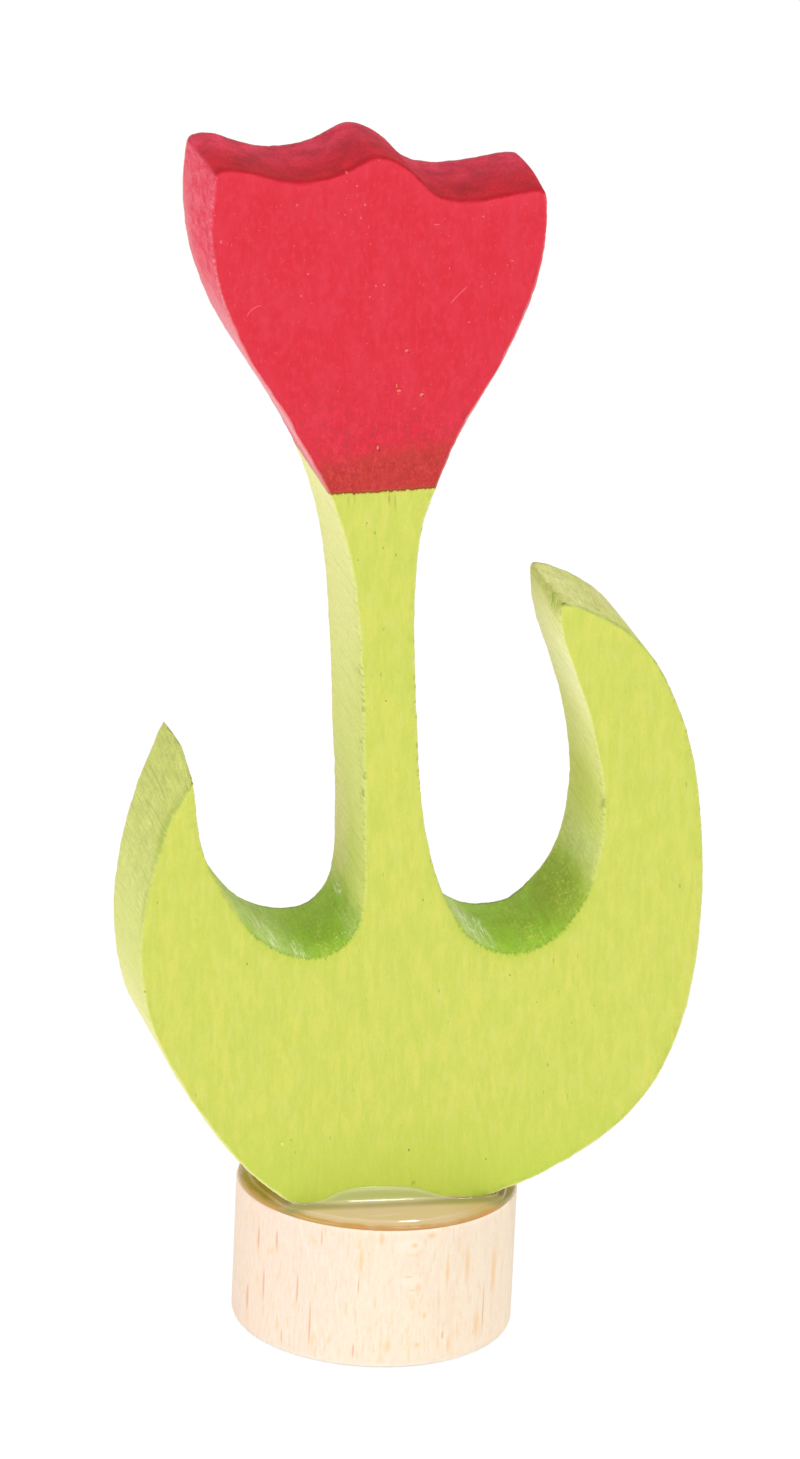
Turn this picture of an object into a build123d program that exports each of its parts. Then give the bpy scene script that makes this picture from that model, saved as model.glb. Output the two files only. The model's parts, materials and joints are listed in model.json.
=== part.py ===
from build123d import *
import os
from math import cos, radians, sin, sqrt

# A wooden tulip: one scroll-sawn board that stands on a round plug.
# Millimetres. X runs across the flower, its front faces -Y and Z is up.
# The origin is the centre of the plug's underside.

# The plug goes into a 20 mm hole
plug_diameter = 19.5
plug_height = 10.3
plug_foot_rounding = 0.5
plug_rim_break = 0.15

# The board, and how it stands: a little ahead of the plug's middle, leaning to the left,
# with its foot short of the plug's rim by the foot's margin
board_thickness = 10.0
board_ahead = 0.35
board_lean = 3.0
foot_margin = 3.8
foot_allowance = 1.5

# The flower's sizes, measured up the stem from the foot
stem_width = 3.7
stem_height = 51.4
blossom_width = 22.6
blossom_height = 22.9

# Each leaf reaches out from the stem's middle, and the hollow beside the stem has its own height
left_leaf_reach = 17.35
left_leaf_height = 32.5
left_hollow_height = 18.7
right_leaf_reach = 21.8
right_leaf_height = 42.5
right_hollow_height = 17.8

# The dowel inside the joint
dowel_diameter = 6.0
dowel_clearance = 0.1
dowel_end_gap = 0.5
dowel_end_chamfer = 0.5
dowel_depth_in_plug = 7.0
dowel_depth_in_board = 10.0

# The glue: a pool over the plug's top, and a fillet up the board's front and back,
# each drawn from a root inside the board and then cut to it
glue_depth = 0.5
glue_shoulder = 0.25
glue_inset = 0.15
front_fillet_height = 1.5
back_fillet_height = 1.0
fillet_root = 0.6

# Outlines, from the foot up, as shares of the sizes that they follow.
# Foot corners: (share of the foot's width, share of the leaf's height)
foot_left_shares = (-0.53, 0.012)
foot_right_shares = (0.47, -0.002)

# A leaf's outer side: (share of its reach, share of its height), from beside the foot to the tip
left_outer_shares = [(0.483, 0.057), (0.609, 0.125), (0.787, 0.262), (0.908, 0.382), (0.978, 0.492),
                     (0.999, 0.600), (0.977, 0.716), (0.914, 0.843), (0.845, 0.944), (0.785, 1.000)]
right_outer_shares = [(0.385, 0.016), (0.528, 0.045), (0.679, 0.089), (0.826, 0.162), (0.931, 0.268),
                      (0.982, 0.384), (1.000, 0.510), (0.991, 0.635), (0.959, 0.746), (0.908, 0.828),
                      (0.844, 0.894), (0.780, 0.935), (0.697, 0.967), (0.624, 0.986), (0.543, 1.000)]

# A hollow's side, from its bottom up to the leaf's tip: (share of the reach, share of the way up)
left_hollow_shares = [(0.149, 0.114), (0.218, 0.029), (0.316, 0.000), (0.414, 0.029), (0.517, 0.110),
                      (0.615, 0.268), (0.690, 0.430), (0.741, 0.588), (0.764, 0.760)]
right_hollow_shares = [(0.193, 0.138), (0.257, 0.053), (0.321, 0.014), (0.399, 0.000), (0.482, 0.016),
                       (0.560, 0.065), (0.624, 0.150), (0.665, 0.267), (0.679, 0.405), (0.661, 0.559),
                       (0.619, 0.709), (0.573, 0.834), (0.541, 0.939)]

# The stem's sides: (share of its width, share of the way from the hollow up to the blossom)
left_stem_shares = [(0.527, 0.110), (0.486, 0.208), (0.486, 0.376), (0.500, 0.560), (0.581, 0.743),
                    (0.689, 0.835), (0.851, 0.917)]
right_stem_shares = [(0.946, 0.149), (0.743, 0.229), (0.595, 0.333), (0.527, 0.452), (0.486, 0.601),
                     (0.473, 0.735), (0.527, 0.839), (0.622, 0.914)]

# The blossom: (share of its width, share of its height)
left_blossom_shares = [(0.177, 0.000), (0.243, 0.140), (0.327, 0.284), (0.416, 0.432), (0.478, 0.576),
                       (0.511, 0.712), (0.518, 0.834), (0.500, 0.983)]
right_blossom_shares = [(0.146, 0.000), (0.221, 0.162), (0.327, 0.332), (0.412, 0.493), (0.460, 0.629),
                        (0.478, 0.747), (0.478, 0.873)]
petal_top_shares = [(-0.442, 0.985), (-0.367, 0.965), (-0.283, 0.941), (-0.190, 0.941), (-0.102, 0.965),
                    (-0.027, 0.996), (0.044, 0.974), (0.106, 0.921), (0.142, 0.882), (0.204, 0.856),
                    (0.310, 0.854), (0.420, 0.869)]

# The glue fillet's arch, seen from the front: (share of its width, share of its height)
fillet_arch_shares = [(-0.50, 0.00), (-0.36, 0.22), (-0.20, 0.82), (0.00, 1.00), (0.18, 0.86),
                      (0.36, 0.28), (0.50, 0.00)]

# How far the fillet reaches over the strip of pool in front of the board
fillet_reach_share = 0.6
# The fillet's hollow side: half would meet the plug's top flat, and more is shallower
fillet_hollow_share = 0.6

# Which way a side of the outline lies, as the sign of its X
to_left, to_right = -1, 1


def spread(shares, width, height, base=0, side=to_right):
    """Points of an outline from shares of a width and of a height above a base."""
    return [(side * across * width, base + up * height) for across, up in shares]


def inner_side(hollow, stem, blossom, side, reach, leaf_height, hollow_height):
    """The line from beside a leaf's tip, through its hollow and up the stem to the blossom's corner."""
    along_hollow = spread(hollow, reach, leaf_height - hollow_height, hollow_height, side)
    along_stem = spread(stem, stem_width, stem_height - hollow_height, hollow_height, side)
    along_blossom = spread(blossom, blossom_width, blossom_height, stem_height, side)
    return along_hollow[::-1] + along_stem + along_blossom


# Where the pieces meet
plug_radius = plug_diameter / 2
foot_width = plug_diameter - 2 * foot_margin
pool_radius = plug_radius - plug_rim_break - glue_inset
dowel_bore_radius = dowel_diameter / 2 + dowel_clearance
board_front = -board_ahead - board_thickness / 2
board_back = -board_ahead + board_thickness / 2
lean = radians(board_lean)
board_plane = Plane(
    origin=(0, board_back, plug_height),
    x_dir=(cos(lean), 0, sin(lean)),
    z_dir=(0, -1, 0),
)

# The outline's stretches, each from beside the foot or a leaf's tip
left_outer = spread(left_outer_shares, left_leaf_reach, left_leaf_height, side=to_left)
right_outer = spread(right_outer_shares, right_leaf_reach, right_leaf_height, side=to_right)
left_inner = inner_side(left_hollow_shares, left_stem_shares, left_blossom_shares, to_left,
                        left_leaf_reach, left_leaf_height, left_hollow_height)
right_inner = inner_side(right_hollow_shares, right_stem_shares, right_blossom_shares, to_right,
                         right_leaf_reach, right_leaf_height, right_hollow_height)
petal_tops = spread(petal_top_shares, blossom_width, blossom_height, stem_height)
left_foot = (foot_left_shares[0] * foot_width, foot_left_shares[1] * left_leaf_height)
right_foot = (foot_right_shares[0] * foot_width, foot_right_shares[1] * right_leaf_height)

# The board: the outline runs below the foot, and the foot is then cut flat to stand on the plug
with BuildPart() as tulip_board:
    with BuildSketch(board_plane) as board_face:
        with BuildLine() as board_outline:
            Spline(left_foot, *left_outer)
            Spline(left_outer[-1], *left_inner)
            Spline(left_inner[-1], *petal_tops, right_inner[-1])
            Spline(*right_inner[::-1], right_outer[-1])
            Spline(*right_outer[::-1], right_foot)
            Polyline(right_foot, (right_foot[0], -foot_allowance), (left_foot[0], -foot_allowance), left_foot)
        make_face()
    extrude(amount=board_thickness)
    split(bisect_by=Plane.XY.offset(plug_height), keep=Keep.TOP)
    with BuildSketch(Plane.XY.offset(plug_height)) as dowel_bore:
        Circle(dowel_bore_radius)
    extrude(amount=dowel_depth_in_board + dowel_end_gap, mode=Mode.SUBTRACT)

# The plug: turned beech with a rounded lower edge, a crisp rim and a blind hole for the dowel
with BuildPart() as base_peg:
    with BuildSketch(Plane.XY) as plug_face:
        Circle(plug_radius)
    extrude(amount=plug_height)
    fillet(base_peg.edges().filter_by(GeomType.CIRCLE).group_by(Axis.Z)[0], plug_foot_rounding)
    chamfer(base_peg.edges().filter_by(GeomType.CIRCLE).group_by(Axis.Z)[-1], plug_rim_break)
    with Locations((0, 0, plug_height)):
        Hole(dowel_bore_radius, depth=dowel_depth_in_plug + dowel_end_gap)

# The dowel: half in the plug, half in the board's foot
with BuildPart() as dowel:
    with BuildSketch(Plane.XY.offset(plug_height - dowel_depth_in_plug)) as dowel_face:
        Circle(dowel_diameter / 2)
    extrude(amount=dowel_depth_in_plug + dowel_depth_in_board)
    chamfer(dowel.edges().filter_by(GeomType.CIRCLE), dowel_end_chamfer)


def glue_fillet(face_y, facing, height):
    """A glue fillet that climbs one face of the board: an arch from the front, hollow from the side."""
    reach = fillet_reach_share * (pool_radius - abs(face_y))
    half_width = sqrt(pool_radius**2 - (abs(face_y) + reach)**2)
    arch = spread(fillet_arch_shares, 2 * half_width, height, plug_height)
    root_y = face_y - facing * fillet_root
    toe = (face_y + facing * reach, plug_height)
    crest = (face_y, plug_height + height)
    hollow = fillet_hollow_share * (reach**2 + height**2) / height
    with BuildPart(mode=Mode.PRIVATE) as bead:
        with BuildSketch(Plane.XZ.offset(-root_y)) as front_view:
            with BuildLine():
                Spline(*arch, tangents=((1, 0), (1, 0)))
                Line(arch[-1], arch[0])
            make_face()
        extrude(amount=-facing * (fillet_root + reach))
        with BuildSketch(Plane.YZ.offset(-half_width)) as side_view:
            with BuildLine():
                RadiusArc(crest, toe, -facing * hollow)
                Polyline(toe, (root_y, plug_height), (root_y, plug_height + height), crest)
            make_face()
        extrude(amount=2 * half_width, mode=Mode.INTERSECT)
    return bead.part


# The glue: the pool round the foot, with a fillet on either side, cut to the board's own shape
front_fillet = glue_fillet(board_front, -1, front_fillet_height)
back_fillet = glue_fillet(board_back, 1, back_fillet_height)
with BuildPart() as glue:
    with BuildSketch(Plane.XY.offset(plug_height)) as pool_face:
        Circle(pool_radius)
    extrude(amount=glue_depth)
    chamfer(glue.edges().filter_by(GeomType.CIRCLE).group_by(Axis.Z)[-1], glue_shoulder)
    add(front_fillet)
    add(back_fillet)
    add(tulip_board.part, mode=Mode.SUBTRACT)
    with BuildSketch(Plane.XY.offset(plug_height)) as bore_face:
        Circle(dowel_bore_radius)
    extrude(amount=glue_depth, mode=Mode.SUBTRACT)

os.makedirs("parts", exist_ok=True)
for name, piece in (
    ("tulip_board", tulip_board),
    ("base_peg", base_peg),
    ("dowel", dowel),
    ("glue", glue),
):
    piece.part.label = name
    export_step(piece.part, f"parts/{name}.step")
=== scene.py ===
import json
import math
from functools import reduce

import bmesh
import bpy
import numpy as np
from mathutils import Matrix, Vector
from mathutils.geometry import delaunay_2d_cdt

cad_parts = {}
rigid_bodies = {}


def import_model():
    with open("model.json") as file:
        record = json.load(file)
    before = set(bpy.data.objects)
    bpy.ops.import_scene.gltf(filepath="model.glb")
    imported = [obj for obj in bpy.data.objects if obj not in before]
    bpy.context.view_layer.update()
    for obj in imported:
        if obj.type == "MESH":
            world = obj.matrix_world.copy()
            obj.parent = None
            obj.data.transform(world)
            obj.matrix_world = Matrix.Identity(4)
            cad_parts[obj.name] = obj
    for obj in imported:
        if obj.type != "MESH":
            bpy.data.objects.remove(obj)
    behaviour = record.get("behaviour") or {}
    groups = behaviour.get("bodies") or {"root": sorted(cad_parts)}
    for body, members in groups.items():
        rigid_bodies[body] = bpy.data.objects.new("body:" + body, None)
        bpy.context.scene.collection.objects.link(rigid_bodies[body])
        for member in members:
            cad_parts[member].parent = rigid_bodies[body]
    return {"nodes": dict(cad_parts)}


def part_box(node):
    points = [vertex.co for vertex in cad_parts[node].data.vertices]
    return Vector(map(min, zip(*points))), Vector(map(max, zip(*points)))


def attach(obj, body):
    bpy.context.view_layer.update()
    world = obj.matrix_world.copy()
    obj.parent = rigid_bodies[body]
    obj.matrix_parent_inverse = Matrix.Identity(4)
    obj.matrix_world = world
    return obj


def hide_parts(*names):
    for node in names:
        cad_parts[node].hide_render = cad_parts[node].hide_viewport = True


for leftover in list(bpy.data.objects):
    bpy.data.objects.remove(leftover)

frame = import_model()
bpy.context.view_layer.update()
mm = 0.001
print("Frame loaded:", sorted(frame["nodes"]))

# The tulip's own upright line: u across the board and v up its grain, in millimetres, from the middle of the foot
flower = {
    "lean": math.radians(3.0),
    "footHeight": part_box("tulip_board")[0].z / mm,
    "frontY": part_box("tulip_board")[0].y / mm,
    "backY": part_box("tulip_board")[1].y / mm,
    "stainHeight": 51.4,
}
leanCos, leanSin = math.cos(flower["lean"]), math.sin(flower["lean"])


def toUpright(x, z):
    x, z = np.asarray(x, float), np.asarray(z, float) - flower["footHeight"]
    return x * leanCos + z * leanSin, -x * leanSin + z * leanCos


def fromUpright(u, v):
    return u * leanCos - v * leanSin, u * leanSin + v * leanCos + flower["footHeight"]


def smooth(value, low, high):
    share = np.clip((np.asarray(value, float) - low) / (high - low), 0, 1)
    return share * share * (3 - 2 * share)


# Colours as a screen shows them, 0 to 255, turned into Blender's linear ones
def linear(red, green, blue):
    channels = [c / 255 for c in (red, green, blue)]
    return tuple(c / 12.92 if c <= 0.04045 else ((c + 0.055) / 1.055) ** 2.4 for c in channels) + (1.0,)


def coloursOf(look):
    return {name: linear(*value) if isinstance(value, tuple) else value for name, value in look.items()}


# A Value is a node's output. Each sign between Values, or a Value and a number, puts a Math node in their tree.
class Value:
    def __init__(self, socket):
        self.socket = socket

    def __add__(self, other):
        return calc("ADD", self, other)

    def __radd__(self, other):
        return calc("ADD", other, self)

    def __sub__(self, other):
        return calc("SUBTRACT", self, other)

    def __rsub__(self, other):
        return calc("SUBTRACT", other, self)

    def __mul__(self, other):
        return calc("MULTIPLY", self, other)

    def __rmul__(self, other):
        return calc("MULTIPLY", other, self)

    def __truediv__(self, other):
        return calc("DIVIDE", self, other)

    def __rtruediv__(self, other):
        return calc("DIVIDE", other, self)

    def __abs__(self):
        return calc("ABSOLUTE", self)


def treeOf(*values):
    sources = [getattr(value, "socket", value) for value in values]
    return next(source.id_data for source in sources if hasattr(source, "id_data"))


def wire(socket, value):
    if isinstance(value, bpy.types.Node):
        value = value.outputs[0]
    value = getattr(value, "socket", value)
    if isinstance(value, bpy.types.NodeSocket):
        socket.id_data.links.new(value, socket)
    else:
        socket.default_value = value


def putNode(tree, kind, wires=None, **settings):
    node = tree.nodes.new(kind)
    for name, value in settings.items():
        setattr(node, name, value)
    for socket, value in (wires or {}).items():
        wire(node.inputs[socket], value)
    return node


def out(node, output=0):
    return Value(node.outputs[output])


def calc(operation, first, second=0.0, third=0.0, clamp=False):
    return out(putNode(treeOf(first, second, third), "ShaderNodeMath", {0: first, 1: second, 2: third},
                       operation=operation, use_clamp=clamp))


def most(first, second):
    return calc("MAXIMUM", first, second)


def least(first, second):
    return calc("MINIMUM", first, second)


def vectorCalc(operation, first, second=(0, 0, 0)):
    node = putNode(treeOf(first, second), "ShaderNodeVectorMath", {0: first, 1: second}, operation=operation)
    return out(node, "Value" if operation in ("LENGTH", "DISTANCE") else "Vector")


def scaled(vector, amount):
    return out(putNode(treeOf(vector, amount), "ShaderNodeVectorMath", {0: vector, "Scale": amount},
                       operation="SCALE"))


def parts(vector):
    return [Value(socket) for socket in putNode(treeOf(vector), "ShaderNodeSeparateXYZ", {0: vector}).outputs]


def joined(x, y=0.0, z=0.0):
    return out(putNode(treeOf(x, y, z), "ShaderNodeCombineXYZ", {0: x, 1: y, 2: z}))


def between(value, low, high, start=0.0, end=1.0):
    return out(putNode(treeOf(value, low, high), "ShaderNodeMapRange", {0: value, 1: low, 2: high, 3: start, 4: end},
                       interpolation_type="SMOOTHSTEP"))


def weigh(share, first, second):
    return out(putNode(treeOf(share, first, second), "ShaderNodeMix", {0: share, 2: first, 3: second}))


def blend(share, first, second, how="MIX"):
    return out(putNode(treeOf(share, first, second), "ShaderNodeMix", {0: share, 6: first, 7: second},
                       data_type="RGBA", blend_type=how), 2)


# Tints of a look laid over a colour one after the other, each by its own share
def layered(look, colour, *layers):
    for share, tint in layers:
        colour = blend(share, colour, look[tint])
    return colour


def toned(colour, value, amount, low=0.3, high=0.7):
    tree = treeOf(value)
    tone = putNode(tree, "ShaderNodeMapRange", {0: value, 1: low, 2: high, 3: 1 - amount, 4: 1 + amount})
    return blend(1.0, colour, putNode(tree, "ShaderNodeCombineColor", {0: tone, 1: tone, 2: tone}), "MULTIPLY")


def noise(place, stretch, detail=2.0, roughness=0.5, shift=0.0):
    moved = putNode(treeOf(place), "ShaderNodeVectorMath",
                    {0: place, 1: stretch, 2: (shift, shift * 0.7, shift * 1.3)}, operation="MULTIPLY_ADD")
    return out(putNode(treeOf(place), "ShaderNodeTexNoise",
                       {"Vector": moved, "Scale": 1.0, "Detail": detail, "Roughness": roughness}))


# The object's own coordinates in millimetres
def objectPlace(tree, rotation=(0, 0, 0), location=(0, 0, 0)):
    place = out(putNode(tree, "ShaderNodeTexCoord"), "Object")
    return out(putNode(tree, "ShaderNodeMapping", {"Vector": place, "Scale": (1 / mm, 1 / mm, 1 / mm),
                                                   "Rotation": rotation, "Location": location}))


# Groups: a text in takes names a socket's kind, and a number or a vector is its first value
socketKinds = {float: "NodeSocketFloat", tuple: "NodeSocketVector"}


def newGroup(name, kind, takes, gives):
    tree = bpy.data.node_groups.new(name, kind)
    for socketName, value in takes.items():
        socketKind = socketKinds.get(type(value), value)
        socket = tree.interface.new_socket(socketName, in_out="INPUT", socket_type=socketKind)
        if value != socketKind:
            socket.default_value = value
    for socketName in gives:
        socketKind = "NodeSocketGeometry" if socketName == "Geometry" else "NodeSocketFloat"
        tree.interface.new_socket(socketName, in_out="OUTPUT", socket_type=socketKind)
    taken = {socket.name: Value(socket) for socket in tree.nodes.new("NodeGroupInput").outputs}
    return tree, taken, tree.nodes.new("NodeGroupOutput")


def useGroup(group, wires):
    node = putNode(treeOf(*wires.values()), "ShaderNodeGroup", wires, node_tree=group)
    return {socket.name: Value(socket) for socket in node.outputs}


def dress(shader, values):
    for name, value in values.items():
        wire(shader.inputs[name], value)


def newMaterial(name):
    material = bpy.data.materials.new(name)
    material.use_nodes = True
    tree = material.node_tree
    return material, tree, tree.nodes["Principled BSDF"]


# Group: wood grain that runs up the Z of the place it is given, in millimetres
def makeGrainGroup():
    tree, take, end = newGroup("uprightGrain", "ShaderNodeTree", {
        "Place": (0.0, 0.0, 0.0), "Streak Width": 0.8, "Streak Length": 9.0, "Fibre Width": 0.14,
        "Fibre Length": 2.2, "Grit Size": 0.16, "Shift": 0.0,
    }, ("Streaks", "Fibres", "Grit", "Pores", "Relief"))
    shift = joined(take["Shift"], take["Shift"])
    place = vectorCalc("ADD", take["Place"], shift)
    masks = []
    for width, length, detail in (("Streak Width", "Streak Length", 3.0), ("Fibre Width", "Fibre Length", 2.0)):
        across = 1.0 / take[width]
        along = 1.0 / take[length]
        scale = joined(across, across, along)
        masks.append(noise(place, scale, detail, 0.55))
    fine = 1.0 / take["Grit Size"]
    gritScale = joined(fine, fine, fine * 0.7)
    masks.append(noise(place, gritScale, 2.0, 0.7, 8.0))
    poreBed = noise(place, (4.2, 4.2, 1.3), 1.0, 0.5, 31.0)
    pores = between(poreBed, 0.77, 0.82)
    relief = masks[1] * 0.5 + masks[0] * 0.25
    relief = masks[2] * 0.4 + relief
    relief = relief - pores * 0.5
    for name, value in zip(("Streaks", "Fibres", "Grit", "Pores", "Relief"), (*masks, pores, relief)):
        wire(end.inputs[name], value)
    return tree


# Group: one soft oval spot, for nicks, pores, flecks and runs of stain
def makeSpotGroup():
    tree, take, end = newGroup("softSpot", "ShaderNodeTree", {
        "Place": (0.0, 0.0, 0.0), "Centre": (0.0, 0.0, 0.0), "Half Size": (1.0, 1.0, 1.0), "Softness": 0.5,
    }, ("Mask",))
    away = vectorCalc("SUBTRACT", take["Place"], take["Centre"])
    share = vectorCalc("DIVIDE", away, take["Half Size"])
    distance = vectorCalc("LENGTH", share)
    inner = 1.0 - take["Softness"]
    wire(end.inputs["Mask"], between(distance, inner, 1.0, 1.0, 0.0))
    return tree


# Group: the fine lines that the saw blade leaves across a cut, from the way along the cut and the depth in it
def makeSawGroup():
    tree, take, end = newGroup("sawLines", "ShaderNodeTree", {
        "Along": 0.0, "Depth": 0.0, "Spacing": 0.3, "Drift": 0.0,
    }, ("Lines", "Scratches", "Glints", "Streaks", "Grooves"))
    along = (take["Depth"] * take["Drift"] + take["Along"]) / take["Spacing"]
    place = joined(along, take["Depth"])
    wire(end.inputs["Lines"], noise(place, (1.0, 0.45, 1.0), 3.0, 0.62))
    scratches = noise(place, (0.5, 0.06, 1.0), 1.0, 0.5, 17.0)
    wire(end.inputs["Scratches"], between(scratches, 0.7, 0.76))
    grooves = between(scratches, 0.6, 0.65) * between(scratches, 0.7, 0.67)
    wire(end.inputs["Grooves"], grooves)
    glints = noise(place, (1.5, 0.45, 1.0), 4.0, 0.7, 29.0)
    wire(end.inputs["Glints"], between(glints, 0.5, 0.58))
    through = noise(place, (0.45, 0.16, 1.0), 4.0, 0.65, 43.0)
    wire(end.inputs["Streaks"], between(through, 0.36, 0.64))
    return tree


# Group: a hairline scratch, an arc of a circle that is cut to an oval
def makeHairGroup():
    tree, take, end = newGroup("hairline", "ShaderNodeTree", {
        "Place": (0.0, 0.0, 0.0), "Circle Centre": (0.0, 0.0, 0.0), "Radius": 1.0, "Width": 0.03, "Reach": 0.6,
        "Middle": (0.0, 0.0, 0.0),
    }, ("Mask",))
    away = vectorCalc("SUBTRACT", take["Place"], take["Circle Centre"])
    offLine = abs(vectorCalc("LENGTH", away) - take["Radius"])
    halfWidth = take["Width"] * 0.5
    onLine = between(offLine, halfWidth, take["Width"] * 1.3, 1.0, 0.0)
    fromMiddle = vectorCalc("DISTANCE", take["Place"], take["Middle"])
    nearMiddle = between(fromMiddle, take["Reach"] * 0.7, take["Reach"], 1.0, 0.0)
    wire(end.inputs["Mask"], onLine * nearMiddle)
    return tree


grainGroup, spotGroup, sawGroup, hairGroup = makeGrainGroup(), makeSpotGroup(), makeSawGroup(), makeHairGroup()


def spotMask(place, spots, softness=0.5):
    return reduce(most, [useGroup(spotGroup, {"Place": place, "Centre": centre, "Half Size": halfSize,
                                              "Softness": softness})["Mask"] for centre, halfSize in spots])


# The board's stains, and the painted highlights, sheen and shade laid over them
stainLook = {
    "greenFace": (211, 219, 100), "greenWarm": (219, 221, 102), "greenCool": (203, 214, 91),
    "greenFoot": (194, 216, 76), "greenMilky": (219, 224, 122), "greenLow": (251, 246, 178),
    "greenSide": (226, 231, 138), "greenHigh": (206, 213, 116), "greenEnd": (206, 210, 122),
    "greenHollow": (155, 196, 54), "greenOlive": (162, 181, 70), "hollowPale": (208, 224, 150),
    "hollowBackLight": (182, 217, 94), "hollowFleck": (214, 216, 112), "halo": (194, 208, 78),
    "warmSide": (247, 241, 172), "paintedLightPale": (255, 253, 200), "stemMoss": (216, 224, 120),
    "speckled": (146, 170, 56), "brown": (128, 92, 40), "greenDeep": (150, 182, 60), "greenRimDark": (166, 188, 68),
    "tick": (116, 132, 44), "redFace": (224, 44, 60), "redPale": (230, 62, 82), "redLow": (246, 170, 178),
    "redSide": (242, 104, 122), "redHot": (234, 60, 84), "redHigh": (206, 54, 68), "redEnd": (188, 27, 40),
    "redArris": (180, 14, 30), "redDustAndSheen": (210, 63, 86), "redDeep": (172, 28, 46), "redFleck": (248, 168, 178),
    "redBack": (240, 142, 148), "overlap": (204, 62, 56), "overlapDark": (176, 46, 44),
    "overlapPink": (216, 72, 72), "line": (144, 66, 24), "bleed": (150, 110, 50), "backArrisShade": (132, 122, 106),
    "backPale": (246, 214, 160), "nick": (240, 158, 112), "nickPit": (120, 74, 44), "speck": (248, 128, 134),
    "pore": (112, 122, 40), "hair": (250, 118, 126), "fray": (240, 240, 158), "glint": (246, 250, 216),
    "milkyEnd": (214, 209, 150), "under": (232, 220, 100), "overlapHeight": 2.85, "overlapRise": 0.12,
    "lineWidth": 0.07, "specular": 0.2, "bumpDepth": 0.00006, "faceRoughness": 0.68, "sideRoughness": 0.85,
    "glintRoughness": 0.3,
}
# Places on the cuts with a tint: (u, depth, v), half size, softness, colour, strength; some are painted light, as
# marked
stainTints = [
    # Pale haze on the hollows: partly paler stain, partly a painted sheen
    ((-8.8, 0.0, 20.0), (4.4, 12.0, 3.6), 0.9, "hollowPale", 0.8),
    ((5.4, 0.0, 19.2), (3.3, 12.0, 2.8), 0.85, "hollowPale", 1.0),
    ((12.8, -0.5, 20.4), (3.2, 8.0, 3.0), 0.7, "greenOlive", 0.9),
    ((14.4, 0.0, 24.0), (1.2, 8.0, 3.4), 0.9, "hollowPale", 0.6),
    ((-2.1, -5.0, 24.5), (1.6, 9.5, 5.4), 0.9, "stemMoss", 0.95),
    ((-2.0, -5.0, 36.0), (1.6, 6.0, 11.0), 0.9, "stemMoss", 0.45),
    # Painted light on the stem's cut, lifting the shade that the left leaf casts on it
    ((-2.0, 4.0, 26.0), (1.6, 5.4, 6.5), 0.8, "warmSide", 1.0),
    ((-2.0, 1.0, 33.5), (1.6, 9.0, 7.5), 0.8, "warmSide", 0.1),
    ((-2.4, 0.0, 42.0), (1.6, 9.0, 9.0), 0.8, "warmSide", 0.35),
    # Painted light on the right leaf's inner cut
    ((12.6, 0.0, 37.6), (3.4, 14.0, 6.4), 0.8, "paintedLightPale", 1.0),
    ((14.9, 0.0, 27.5), (0.9, 8.0, 4.4), 0.9, "halo", 0.55),
    ((11.8, -2.6, 42.1), (1.05, 4.0, 1.3), 0.95, "speckled", 0.9),
    ((11.85, -4.4, 42.4), (0.35, 1.1, 0.4), 0.9, "greenDeep", 0.5),
    ((12.1, -4.9, 42.42), (0.32, 0.35, 0.16), 0.7, "brown", 0.9),
    ((14.87, -3.29, 41.28), (0.2, 0.2, 0.3), 0.7, "brown", 0.6),
    ((11.6, 1.4, 42.3), (0.8, 3.6, 0.9), 0.9, "speckled", 0.75),
    ((-2.8, -3.6, 21.0), (1.5, 5.0, 1.8), 0.9, "hollowPale", 0.6),
    ((13.8, 0.0, 41.8), (2.4, 9.0, 1.6), 0.9, "greenDeep", 0.12),
    # More painted light on the right leaf's cut, below its tip
    ((11.3, 1.0, 40.4), (0.9, 6.0, 2.2), 0.9, "paintedLightPale", 0.9),
    ((16.7, 2.0, 40.2), (2.5, 5.0, 2.3), 0.9, "milkyEnd", 0.8),
    ((-15.4, -5.0, 28.5), (2.2, 1.9, 4.6), 0.9, "greenRimDark", 0.65),
    ((-17.0, -5.3, 23.5), (1.2, 1.2, 4.0), 0.9, "greenRimDark", 0.4),
]
# Bundles of painted glints in the hollows, pale highlight streaks over glossier patches: (u, depth, v), half size
glintPlaces = [((-8.1, -2.4, 19.6), (1.0, 4.2, 1.0)), ((6.3, -1.0, 18.6), (0.7, 5.0, 0.9)),
               ((7.2, -1.2, 18.1), (0.6, 4.4, 0.7)), ((-2.3, 1.4, 21.0), (0.4, 1.6, 0.7)),
               ((-6.2, -3.8, 18.8), (0.9, 2.4, 0.6))]
# Pale flecks in the stain, the last of them on the right leaf's tip, and the scored part of the left leaf's cut
fleckPlaces = [((10.4, 0.0, 18.1), (1.3, 7.0, 1.0)), ((-4.0, -1.5, 18.9), (1.6, 5.0, 1.0)),
               ((-2.4, 0.0, 21.2), (0.9, 7.0, 2.4)), ((13.2, 0.0, 21.0), (2.2, 7.0, 2.6)),
               ((11.9, -2.2, 42.1), (1.1, 4.4, 1.2))]
scoredPlaces = [((-14.9, 0.0, 30.2), (2.0, 9.0, 3.2)), ((-16.4, 0.0, 26.4), (1.0, 9.0, 1.4))]
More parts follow.
